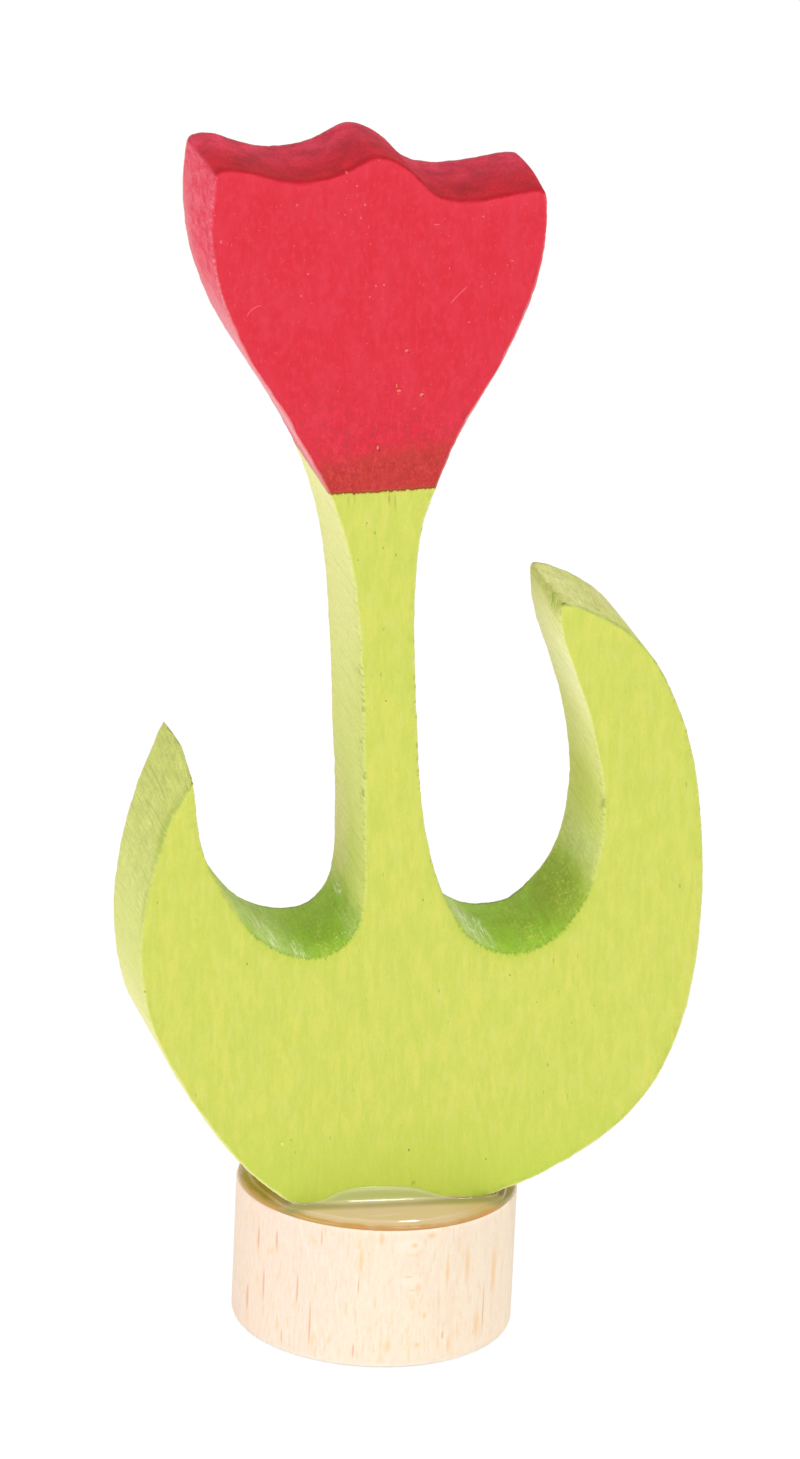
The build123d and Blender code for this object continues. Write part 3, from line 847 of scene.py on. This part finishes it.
# The loop of points round the solid's front face, counter-clockwise, in millimetres
def outlineLoop(node):
    mesh = bmesh.new()
    mesh.from_mesh(node.data)
    bmesh.ops.remove_doubles(mesh, verts=mesh.verts, dist=1e-6)
    frontY = min(v.co.y for v in mesh.verts)
    beside = {}
    for edge in mesh.edges:
        capFaces = sum(all(abs(v.co.y - frontY) < 1e-6 for v in face.verts) for face in edge.link_faces)
        if capFaces == 1 and all(abs(v.co.y - frontY) < 1e-6 for v in edge.verts):
            for one, other in (edge.verts, reversed(edge.verts)):
                beside.setdefault(one.index, []).append(other.index)
    mesh.verts.ensure_lookup_table()
    loop, last = [min(beside)], None
    while True:
        following = [i for i in beside[loop[-1]] if i != last][0]
        if following == loop[0]:
            break
        last = loop[-1]
        loop.append(following)
    points = np.array([[mesh.verts[i].co.x / mm, mesh.verts[i].co.z / mm] for i in loop])
    mesh.free()
    rolled = np.roll(points, -1, 0)
    area = np.sum(points[:, 0] * rolled[:, 1] - rolled[:, 0] * points[:, 1]) / 2
    return points if area > 0 else points[::-1]


def smoothStretch(points, step):
    padded = np.vstack([2 * points[0] - points[1], points, 2 * points[-1] - points[-2]])
    fine = []
    for a, b, c, d in zip(padded[:-3], padded[1:-2], padded[2:-1], padded[3:]):
        for t in np.linspace(0, 1, 12, endpoint=False):
            fine.append(0.5 * (2 * b + (c - a) * t + (2 * a - 5 * b + 4 * c - d) * t**2
                               + (3 * b - a - 3 * c + d) * t**3))
    fine = np.array(fine + [points[-1]])
    return spacedPoints(fine, max(2, int(round(pathAlong(fine)[-1] / step))))


def resampledOutline(points, shape):
    before, after = points - np.roll(points, 1, 0), np.roll(points, -1, 0) - points
    turn = np.degrees(np.abs(np.arctan2(before[:, 0] * after[:, 1] - before[:, 1] * after[:, 0],
                                        np.sum(before * after, 1))))
    corners = np.flatnonzero(turn > shape["cornerAngle"])
    points = np.roll(points, -corners[0], 0)
    corners = np.append(corners - corners[0], len(points))
    closed = np.vstack([points, points[:1]])
    stretches = [smoothStretch(closed[a:b + 1], shape["step"]) for a, b in zip(corners[:-1], corners[1:])]
    loop = np.vstack(stretches)
    for _ in range(shape["cornerPasses"]):
        loop = ringMean(loop)
    for corner in closed[corners[:-1]]:
        u, v = toUpright(*corner)
        if v < shape["lowestCorner"]:
            continue
        kind = "tip" if v < flower["stainHeight"] else "blossomLeft" if u < 0 else "blossomRight"
        near = np.exp(-(np.linalg.norm(loop - corner, axis=1) / shape[kind + "Reach"]) ** 2)[:, None]
        for _ in range(shape[kind + "Passes"]):
            loop = loop + near * (np.roll(loop, 1, 0) - 2 * loop + np.roll(loop, -1, 0)) / 4
    lowest = np.argmin(np.hypot(loop[:, 0], loop[:, 1] - flower["footHeight"]))
    print("Outline:", len(points), "points read,", len(corners) - 1, "corners,", len(loop), "points kept")
    return np.roll(loop, -lowest, 0)


def outwardOf(loop):
    ahead = np.roll(loop, -1, 0) - np.roll(loop, 1, 0)
    ahead /= np.linalg.norm(ahead, axis=1)[:, None]
    return np.column_stack([ahead[:, 1], -ahead[:, 0]])


# How far in each point of the loop can move before a circle through it touches another one
def roomInside(loop, outward, widest=2.0, passes=3):
    room = np.full(len(loop), widest)
    for i, (point, away) in enumerate(zip(loop, outward)):
        across = loop - point
        inwards = -across @ away
        near = inwards > 1e-6
        room[i] = min(widest, np.min(np.sum(across[near] ** 2, 1) / (2 * inwards[near])))
    for _ in range(passes):
        room = np.minimum(room, ringMean(room))
    return room


def loopNoise(count, knots, generator):
    values = generator.uniform(-1, 1, knots)
    spaced = np.linspace(0, knots, count, endpoint=False)
    low = np.floor(spaced).astype(int)
    share = spaced - low
    share = share * share * (3 - 2 * share)
    return values[low % knots] * (1 - share) + values[(low + 1) % knots] * share


def insideLoop(points, loop):
    inside = np.zeros(len(points), bool)
    for (x1, z1), (x2, z2) in zip(loop, np.roll(loop, -1, 0)):
        crosses = (z1 > points[:, 1]) != (z2 > points[:, 1])
        if crosses.any():
            inside ^= crosses & (points[:, 0] < (x2 - x1) * (points[:, 1] - z1) / (z2 - z1 + 1e-12) + x1)
    return inside


# A face's inside: an even field of points, finer round its marks, joined to the ring about it
def faceFilling(ring, shape, marks=()):
    low, high, step = ring.min(0), ring.max(0), shape["faceGrid"]
    rows = []
    for k, z in enumerate(np.arange(low[1], high[1], step * shape["rowSpacing"])):
        xs = np.arange(low[0] + (k % 2) * step / 2, high[0], step)
        rows.append(np.column_stack([xs, np.full(len(xs), z)]))
    points = np.vstack(rows)
    for x, z, reach in marks:
        points = points[np.hypot(points[:, 0] - x, points[:, 1] - z) > reach]
    for x, z, reach in marks:
        fine = np.arange(-reach, reach + 0.01, reach / shape["markSteps"])
        spot = np.array([(x + a, z + b) for a in fine for b in fine if math.hypot(a, b) < reach * 0.98])
        points = np.vstack([points, spot])
    points = points[insideLoop(points, ring)]
    nearest, beside = [], []
    for chunk in np.array_split(points, 40):
        apart = np.hypot(*(chunk[:, None] - ring[None]).transpose(2, 0, 1))
        nearest.append(apart.min(1))
        beside.append(apart.argmin(1))
    nearest, beside = np.concatenate(nearest), np.concatenate(beside)
    kept = nearest > step * shape["clearOfRing"]
    points, nearest, beside = points[kept], nearest[kept], beside[kept]
    every = [tuple(p) for p in np.vstack([ring, points])]
    edges = [(i, (i + 1) % len(ring)) for i in range(len(ring))]
    _, _, faces, sources, _, _ = delaunay_2d_cdt(every, edges, [], 1, 1e-7)
    return points, nearest, beside, [[sources[i][0] for i in face] for face in faces]


# Wear and drift, in the flower's own upright places: the stem bows, the tips are worn and lifted, the cut strays
def weathered(across, depth, height, stemSide, shape):
    backShare = (depth - flower["frontY"]) / (flower["backY"] - flower["frontY"])
    across, height = across.copy(), height.copy()
    onStem = smooth(height, *shape["bowStart"]) * (1 - smooth(height, *shape["bowEnd"])) * stemSide
    across -= shape["bow"] * onStem * smooth(backShare, 0.1, 1.0)
    leftTip = (height < 35) * (across < -5) * (across > -19)
    rightTip = (height < 45) * (across > 8)
    worn = smooth(1 - backShare, 0.42, 1.0)
    lowLeft, midLeft, highLeft = (smooth(height, start, 32.6) for start in (28.5, 30.6, 31.0))
    lift = shape["leftTipLift"] * midLeft * leftTip
    lift -= shape["leftTipWear"] * lowLeft * leftTip * worn
    lift += shape["rightTipLift"] * smooth(height, 41.2, 42.5) * rightTip * (1 - 0.6 * backShare)
    across += shape["rightTipShift"] * smooth(height, 38, 42.5) * rightTip * backShare
    across += shape["leftTipSlide"] * lowLeft * leftTip * worn
    across += shape["leftTipBulge"] * highLeft * leftTip * 4 * backShare * (1 - backShare)
    (cornerU, cornerV), cornerReach = shape["rightCorner"]
    bulge = np.exp(-((across - cornerU) ** 2 + (height - cornerV) ** 2) / cornerReach**2)
    bulge = bulge * 4 * backShare * (1 - backShare)
    toBack = smooth(backShare, 0.0, 1.0)
    drifts = [(drift, toBack) for drift in backDrifts] + [(drift, 1 - toBack) for drift in frontDrifts]
    strayed = [np.exp(-((across - u) ** 2 + (height - v) ** 2) / reach**2) for ((u, v), reach, _, _), _ in drifts]
    across += shape["rightCornerBulge"] * bulge
    for share, ((_, _, sideways, upwards), where) in zip(strayed, drifts):
        across += sideways * share * where
        lift = lift + upwards * share * where
    return across, height + lift


def addTo(fields, *values):
    for field, value in zip(fields.values(), values):
        field.append(value)


def buildBoard():
    shape = boardShape
    generator = np.random.default_rng(shape["seed"])
    loop = resampledOutline(outlineLoop(frame["nodes"]["tulip_board"]), shape)
    count = len(loop)
    outward = outwardOf(loop)
    room = roomInside(loop, outward)
    unevenFront, unevenBack = (
        1 + sum(amount * loopNoise(count, knots, generator) for knots, amount in shape["unevenness"])
        for _ in ("front", "back"))
    curvature = np.sum((np.roll(outward, -1, 0) - np.roll(outward, 1, 0)) * (np.roll(loop, -1, 0)
                       - np.roll(loop, 1, 0)), 1) / (2 * shape["step"]) ** 2
    for _ in range(shape["curvaturePasses"]):
        curvature = ringMean(curvature)
    facing = outward @ np.array([-leanSin, leanCos])
    u, v = toUpright(loop[:, 0], loop[:, 1])
    hollow = smooth(-curvature, 0.03, 0.14) * smooth(facing, -0.1, 0.55) * (v < 40)
    ridge = np.zeros(count)
    for onLeaf in ((u < -5) & (v < 40), (u > 8) & (v < 46)):
        tip = np.flatnonzero(onLeaf)[np.argmax(v[onLeaf])]
        ridge += np.exp(-(np.linalg.norm(loop - loop[tip], axis=1) / shape["ridgeReach"]) ** 2)

    frontY, backY = flower["frontY"], flower["backY"]
    rows = []
    for k in range(shape["roundingRows"] + 1):
        angle = math.pi / 2 * k / shape["roundingRows"]
        inset = np.minimum(shape["edgeRounding"] * unevenFront, room * 0.7)
        rows.append((inset * (1 - math.sin(angle)), frontY + inset * (1 - math.cos(angle)), math.sin(angle)))
    for k in range(1, shape["wallRows"]):
        level = frontY + 0.5 + (backY - frontY - 1.0) * k / shape["wallRows"]
        rows.append((np.zeros(count), np.full(count, level), 1.0))
    for k in range(shape["roundingRows"] + 1):
        angle = math.pi / 2 * (1 - k / shape["roundingRows"])
        inset = np.minimum(shape["backRounding"] * unevenBack, room * 0.7)
        rows.append((inset * (1 - math.sin(angle)), backY - inset * (1 - math.cos(angle)), math.sin(angle)))

    sets, path = [], pathAlong(loop)
    fields = {name: [] for name in ("rimShare", "rimPath", "rimFacing", "hollow", "edgeNear", "ridge")}
    for inset, level, share in rows:
        place = loop - outward * inset[:, None]
        sets.append(np.column_stack([place[:, 0], level, place[:, 1]]))
        addTo(fields, np.full(count, share), path, facing, hollow, np.ones(count), ridge)
    marks = [(*fromUpright(u, v), shape["markReach"] * max(wide, tall)) for kind in ("nicks", "pits", "chips")
             for u, v, wide, tall in stainMarks[kind]]
    faces = [(r * count + i, r * count + (i + 1) % count, (r + 1) * count + (i + 1) % count, (r + 1) * count + i)
             for r in range(len(rows) - 1) for i in range(count)]
    for r, level in ((0, frontY), (len(rows) - 1, backY)):
        ring = sets[r][:, [0, 2]]
        pits = marks if r == 0 else ()
        filling, nearest, beside, capFaces = faceFilling(ring, shape, pits)
        start = sum(len(s) for s in sets)
        faces.extend([r * count + i if i < count else start + i - count for i in face] for face in capFaces)
        pitted = np.full(len(filling), level)
        for x, z, reach in pits:
            fromPit = np.hypot(filling[:, 0] - x, filling[:, 1] - z)
            pitted += shape["pitDepth"] * (1 - smooth(fromPit, 0.1 * reach, 0.6 * reach))
        pitted = np.minimum(pitted, level + 2 * shape["pitDepth"])
        sets.append(np.column_stack([filling[:, 0], pitted, filling[:, 1]]))
        nil = np.zeros(len(filling))
        inHollow = hollow[beside] * (1 - smooth(nearest, 0, shape["hollowReach"]))
        addTo(fields, nil, nil, nil, inHollow, 1 - smooth(nearest, 0, shape["edgeReach"]), nil)
    fields = {name: np.concatenate(values) for name, values in fields.items()}
    vertices = np.vstack(sets)
    u, v = toUpright(vertices[:, 0], vertices[:, 2])
    stemSide = fields["rimShare"] * (u < 0) * (fields["rimFacing"] < 0.8) * (u > -4)
    u, v = weathered(u, vertices[:, 1], v, stemSide, shape)
    vertices[:, 0], vertices[:, 2] = fromUpright(u, v)
    return turnedOutward(gridMesh("tulipBoard", vertices * mm, faces, fields))


# Geometry Nodes: saw marks on the cuts, ragged arrises, and raised fibres on the faces
sawnDetail = {
    "Saw Depth": 0.16 * mm, "Saw Spacing": 0.8, "Ragged Depth": 0.12 * mm, "Ragged Size": 0.4,
    "Ridge Chips": 0.2 * mm, "Ridge Spacing": 1.7,
    "Fibre Relief": 0.012 * mm, "Fibre Width": 0.5, "Fibre Length": 6.0, "Seed": 3.0,
}


def fieldOf(tree, name):
    return out(putNode(tree, "GeometryNodeInputNamedAttribute", {"Name": name}, data_type="FLOAT"))


def finishShape(tree, end, geometry, material):
    real = putNode(tree, "GeometryNodeRealizeInstances", {0: geometry})
    wire(end.inputs[0], putNode(tree, "GeometryNodeSetMaterial", {"Geometry": real, "Material": material}))
    return tree


def makeSawnDetail():
    tree, take, end = newGroup("sawnDetail", "GeometryNodeTree", {
        "Geometry": "NodeSocketGeometry", **sawnDetail, "Material": "NodeSocketMaterial",
    }, ("Geometry",))
    rim, path = fieldOf(tree, "rimShare"), fieldOf(tree, "rimPath")
    place = scaled(putNode(tree, "GeometryNodeInputPosition"), 1 / mm)
    axes = parts(place)
    along = path / take["Saw Spacing"]
    sawPlace = joined(along, axes[1], take["Seed"])
    ridges = noise(sawPlace, (1.0, 0.07, 1.0), 3.0, 0.6) - 0.5
    ridges = ridges * take["Saw Depth"] * rim
    arris = rim * (1.0 - rim) * 4.0
    raggedPlace = joined(path / take["Ragged Size"], axes[1], take["Seed"])
    chips = between(noise(raggedPlace, (1.0, 0.8, 1.0), 3.0, 0.65, 4.0), 0.5, 0.72, 0.0, -1.0)
    chips = chips * take["Ragged Depth"] * arris
    fibreScale = joined(1.0 / take["Fibre Width"], 1.0, 1.0 / take["Fibre Length"])
    fibres = noise(place, fibreScale, 3.0, 0.6, 8.0) - 0.5
    fibres = fibres * take["Fibre Relief"] * (1.0 - rim)
    broken = out(putNode(tree, "ShaderNodeTexNoise",
                         {"W": axes[1] / take["Ridge Spacing"], "Scale": 1.0, "Detail": 3.0, "Roughness": 0.7},
                         noise_dimensions="1D"))
    broken = between(broken, 0.42, 0.6, 0.0, -1.0) * fieldOf(tree, "ridge")
    broken = broken * take["Ridge Chips"]
    total = ridges + chips + (fibres + broken)
    push = scaled(putNode(tree, "GeometryNodeInputNormal"), total)
    moved = putNode(tree, "GeometryNodeSetPosition", {"Geometry": take["Geometry"], "Offset": push})
    return finishShape(tree, end, moved, take["Material"])


tulipBoard = bakeNodes(buildBoard(), makeSawnDetail(), {**sawnDetail, "Material": stainedWood})

# The turned plug: a rounded profile that Geometry Nodes turn round the axis
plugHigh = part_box("base_peg")[1]
plugShape = {
    "Radius": plugHigh.x, "Height": plugHigh.z, "Foot Rounding": 0.75 * mm, "Rim Break": 0.13 * mm,
    "Unevenness": 0.05 * mm, "Relief": 0.02 * mm, "Seed": 2.0,
}


def makeTurnedPlug(segments=240, rows=150):
    tree, take, end = newGroup("turnedPlug", "GeometryNodeTree", {
        "Geometry": "NodeSocketGeometry", **plugShape, "Material": "NodeSocketMaterial",
    }, ("Geometry",))
    line = putNode(tree, "GeometryNodeCurvePrimitiveLine", {"End": (1, 0, 0)})
    line = putNode(tree, "GeometryNodeResampleCurve", {"Curve": line, "Count": 4})
    index = out(putNode(tree, "GeometryNodeInputIndex"))
    outer = calc("COMPARE", index, 1.5, 0.6)
    upper = calc("GREATER_THAN", index, 1.5)
    corner = joined(outer * take["Radius"], 0.0, upper * take["Height"])
    line = putNode(tree, "GeometryNodeSetPosition", {"Geometry": line, "Position": corner})
    rounding = weigh(upper, take["Foot Rounding"], take["Rim Break"])
    line = putNode(tree, "GeometryNodeFilletCurve", {"Curve": line, "Radius": rounding * outer, "Count": 8},
                   mode="POLY")
    grid = putNode(tree, "GeometryNodeMeshGrid",
                   {"Size X": 1.0, "Size Y": 1.0, "Vertices X": segments + 1, "Vertices Y": rows})
    spot = parts(putNode(tree, "GeometryNodeInputPosition"))
    angle = (spot[0] + 0.5) * (2 * math.pi)
    sample = putNode(tree, "GeometryNodeSampleCurve", {"Curves": line, "Factor": spot[1] + 0.5}, mode="FACTOR")
    onProfile = parts(out(sample, "Position"))
    around = joined(onProfile[0] * calc("COSINE", angle), onProfile[0] * calc("SINE", angle), onProfile[2])
    turned = putNode(tree, "GeometryNodeSetPosition", {"Geometry": out(grid), "Position": around})
    turned = putNode(tree, "GeometryNodeMergeByDistance", {"Geometry": turned, "Distance": 0.0005 * mm})
    place = scaled(putNode(tree, "GeometryNodeInputPosition"), 1 / mm)
    waver = noise(place, (0.16, 0.16, 0.1), 1.0, 0.5, 6.0) - 0.5
    fibres = noise(place, (2.4, 2.4, 0.22), 2.0, 0.6, 2.0) - 0.5
    amount = waver * take["Unevenness"] + fibres * take["Relief"]
    amount = amount - take["Unevenness"] * 0.25
    flat = vectorCalc("MULTIPLY", putNode(tree, "GeometryNodeInputNormal"), (1, 1, 0))
    turned = putNode(tree, "GeometryNodeSetPosition", {"Geometry": turned, "Offset": scaled(flat, amount)})
    return finishShape(tree, end, turned, take["Material"])


basePlug = gridMesh("basePlug", [(0, 0, 0)], [])
turnedOutward(bakeNodes(basePlug, makeTurnedPlug(), {**plugShape, "Material": bareBeech}))

# The glue: columns of points run from inside the board, down the fillet, over the pool and round the rim
glueShape = {
    "poolDepth": 0.46, "columns": 320, "insetInBoard": 0.3, "filletReach": 1.0, "frontHeight": 1.62,
    "backHeight": 1.1, "leftEnd": -7.15, "rightEnd": 7.3, "leftHeight": 1.0, "rightHeight": 0.78,
    "frontZone": (4.6, 5.2), "backZone": (3.9, 4.5), "leftZone": (6.4, 7.0), "rightZone": (6.5, 7.2),
    "cornerLoss": 0.6, "leastClimb": 0.08, "climbPasses": 24, "cornerPasses": 6, "waver": 0.01, "waverKnots": 26,
    "rimRadius": 9.66, "shoulder": 1.0, "dome": 0.015, "underPlug": 0.03, "poolRows": 9, "seed": 5,
    "lip": [(-0.24, 1.0), (0.0, 1.0), (0.08, 0.995), (0.12, 0.98), (0.16, 0.945), (0.20, 0.89), (0.23, 0.84),
            (0.255, 0.77), (0.27, 0.69), (0.28, 0.60), (0.288, 0.52), (0.297, 0.44), (0.31, 0.37), (0.33, 0.31),
            (0.36, 0.265), (0.41, 0.225), (0.50, 0.17), (0.62, 0.10), (0.80, 0.035), (1.0, 0.0)],
    "rim": [(0.10, 1.0), (0.15, 0.985), (0.19, 0.95), (0.22, 0.905), (0.25, 0.853), (0.28, 0.80), (0.31, 0.748),
            (0.335, 0.71), (0.37, 0.69), (0.50, 0.66), (0.70, 0.62), (0.86, 0.565), (0.95, 0.48), (0.985, 0.34),
            (1.0, 0.15), (1.0, 0.0)],
    "arch": [(-6.2, 0.0), (-5.2, 0.16), (-4.4, 0.58), (-3.6, 0.93), (-2.5, 1.0), (-1.0, 0.99), (0.2, 0.95),
             (1.3, 0.88), (2.3, 0.6), (3.3, 0.24), (4.3, 0.08), (6.0, 0.04)],
}


def softened(profile, finer, passes=2):
    profile = np.array(profile)
    order = np.linspace(0, len(profile) - 1, finer * len(profile))
    across, up = (np.interp(order, np.arange(len(profile)), profile[:, k]) for k in (0, 1))
    for _ in range(passes):
        for line in (across, up):
            line[1:-1] = (line[:-2] + 2 * line[1:-1] + line[2:]) / 4
    return across, up


def buildGlue():
    shape = glueShape
    generator = np.random.default_rng(shape["seed"])
    top = flower["footHeight"]
    low, high = np.array([shape["leftEnd"], flower["frontY"]]), np.array([shape["rightEnd"], flower["backY"]])
    corners = np.array([[low[0], low[1]], [high[0], low[1]], [high[0], high[1]], [low[0], high[1]]])
    base = spacedPoints(np.vstack([corners, corners[:1]]), shape["columns"])
    for _ in range(shape["cornerPasses"]):
        base = ringMean(base)
    archX, archY = np.array(shape["arch"]).T
    arch, level = np.interp(base[:, 0], archX, archY), shape["poolDepth"]
    ways = {"front": -base[:, 1], "back": base[:, 1], "left": -base[:, 0], "right": base[:, 0]}
    nearness = {side: smooth(way, *shape[side + "Zone"]) for side, way in ways.items()}
    climb = np.full(len(base), shape["leastClimb"])
    for side, near in nearness.items():
        share = arch if side in ("front", "back") else 1 - shape["cornerLoss"] * nearness["front"]
        climb = np.maximum(climb, near * share * (shape[side + "Height"] - level))
    for _ in range(shape["climbPasses"]):
        climb = ringMean(climb)
    waver = 1 + shape["waver"] * loopNoise(shape["columns"], shape["waverKnots"], generator)

    outward = outwardOf(base)
    room = shape["rimRadius"] - np.linalg.norm(base, axis=1)
    lipX, lipY = softened(shape["lip"], 3)
    reach = np.minimum(shape["filletReach"] * waver * (0.94 + 0.06 * climb / climb.max()), 0.45 * room)
    reach, shoulder = reach[:, None], np.minimum(shape["shoulder"], 0.5 * room)[:, None]
    lipEnd = base + outward * reach
    radial = lipEnd / np.linalg.norm(lipEnd, axis=1)[:, None]
    poolEnd = radial * (shape["rimRadius"] - shoulder)
    flat = np.ones(len(base))
    rows = [(base - outward * shape["insetInBoard"], -shape["underPlug"] * flat)]
    for x, y in zip(lipX, lipY):
        rows.append((base + outward * (reach * x if x > 0 else x), level + climb * y))
    for share in np.linspace(0.12, 1, shape["poolRows"]):
        rows.append((lipEnd + (poolEnd - lipEnd) * share, (level - shape["dome"] * share**2) * flat))
    rimX, rimY = softened(shape["rim"], 2)
    for k, (x, y) in enumerate(zip(rimX, rimY)):
        foot = shape["underPlug"] * (k == len(rimX) - 1)
        rows.append((poolEnd + radial * shoulder * x, ((level - shape["dome"]) * y - foot) * flat))
    sets = [np.column_stack([spot, top + height]) for spot, height in rows]
    count, deep = len(base), len(sets)
    faces = [(r * count + i, ((r + 1) % deep) * count + i, ((r + 1) % deep) * count + (i + 1) % count,
              r * count + (i + 1) % count) for r in range(deep) for i in range(count)]
    glue = gridMesh("driedGluePool", np.vstack(sets) * mm, faces)
    turnedOutward(glue).data.materials.append(driedGlue)
    print("driedGluePool:", len(glue.data.vertices), "vertices")
    return glue


gluePool = buildGlue()

for slot in frame["nodes"]["dowel"].material_slots:
    slot.material = bareBeech

for piece, node, slotName in ((tulipBoard, "tulip_board", "stained_wood"), (basePlug, "base_peg", "beech"),
                              (gluePool, "glue", "glue")):
    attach(piece, "root")
    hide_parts(node)
print("Pieces in place")

# Floor: white to the camera, and it keeps the flower's soft shadow
floorLook = {"size": 3.0, "paleness": (250, 250, 250), "ownLight": 0.9, "glow": 1.06,
             "roughness": 0.9}


def seenRays(tree):
    rays = putNode(tree, "ShaderNodeLightPath")
    return most(out(rays, "Is Camera Ray"), most(out(rays, "Is Glossy Ray"), out(rays, "Is Transmission Ray")))


def makeFloor():
    half = floorLook["size"] / 2
    floor = gridMesh("floor", [(-half, -half, 0), (half, -half, 0), (half, half, 0), (-half, half, 0)],
                     [(0, 1, 2, 3)])
    material, tree, shader = newMaterial("paleFloor")
    dress(shader, {"Base Color": linear(*floorLook["paleness"]), "Roughness": floorLook["roughness"],
                   "Specular IOR Level": 0.0})
    seen = seenRays(tree)
    glow = putNode(tree, "ShaderNodeEmission", {"Color": (1, 1, 1, 1), "Strength": floorLook["glow"]})
    part = putNode(tree, "ShaderNodeMixShader", {0: seen * floorLook["ownLight"], 1: shader, 2: glow})
    wire(tree.nodes["Material Output"].inputs[0], part)
    floor.data.materials.append(material)


makeFloor()

# Soft studio light
lamps = [
    {"name": "frontLamp", "place": (0.22, -0.52, 0.34), "size": (0.42, 0.42), "power": 0.70},
    {"name": "leftLamp", "place": (-0.50, -0.24, 0.16), "size": (0.40, 0.40), "power": 1.05},
    {"name": "overheadLamp", "place": (0.12, -0.10, 0.55), "size": (0.15, 0.06), "power": 0.78},
]
worldStrength = 0.58


def makeLamps():
    for lamp in lamps:
        light = bpy.data.lights.new(lamp["name"], "AREA")
        light.shape, light.energy = "RECTANGLE", lamp["power"]
        light.size, light.size_y = lamp["size"]
        thing = bpy.data.objects.new(lamp["name"], light)
        aim = Matrix.Translation(lamp["place"])
        away = (Matrix.Translation((0, 0, -0.04)) @ aim).to_translation().normalized()
        thing.matrix_world = aim @ away.to_track_quat("Z", "Y").to_matrix().to_4x4()
        bpy.context.scene.collection.objects.link(thing)


def makeWorld():
    world = bpy.data.worlds.new("paleRoom")
    world.use_nodes = True
    tree = world.node_tree
    seen = seenRays(tree)
    strength = weigh(seen, worldStrength, 1.0)
    back = tree.nodes["Background"]
    wire(back.inputs["Color"], (1, 1, 1, 1))
    wire(back.inputs["Strength"], strength)
    bpy.context.scene.world = world


makeLamps()
makeWorld()

# Camera: fitted to the photograph's edges
cameraFit = {
    "lens": 183.694, "azimuth": -13.458, "elevation": 18.2988, "roll": 2.6914,
    "target": (0.141, 0.0, 43.058), "distance": 505.672,
}


def makeCamera():
    a, e, r = (math.radians(cameraFit[key]) for key in ("azimuth", "elevation", "roll"))
    back = np.array([math.sin(a) * math.cos(e), -math.cos(a) * math.cos(e), math.sin(e)])
    right = np.array([math.cos(a), math.sin(a), 0.0])
    up = np.cross(back, right)
    turnedRight = math.cos(r) * right + math.sin(r) * up
    turnedUp = -math.sin(r) * right + math.cos(r) * up
    place = np.array(cameraFit["target"]) + back * cameraFit["distance"]
    matrix = Matrix.Identity(4)
    for k, column in enumerate((turnedRight, turnedUp, back, place * mm)):
        for row in range(3):
            matrix[row][k] = float(column[row])
    view = bpy.data.cameras.new("photoView")
    view.lens, view.sensor_width, view.sensor_fit = cameraFit["lens"], 36.0, "AUTO"
    view.clip_start, view.clip_end = 0.01, 20.0
    thing = bpy.data.objects.new("photoView", view)
    thing.matrix_world = matrix
    bpy.context.scene.collection.objects.link(thing)
    bpy.context.scene.camera = thing


makeCamera()
bpy.context.scene.view_settings.view_transform = "Standard"

bpy.context.view_layer.update()
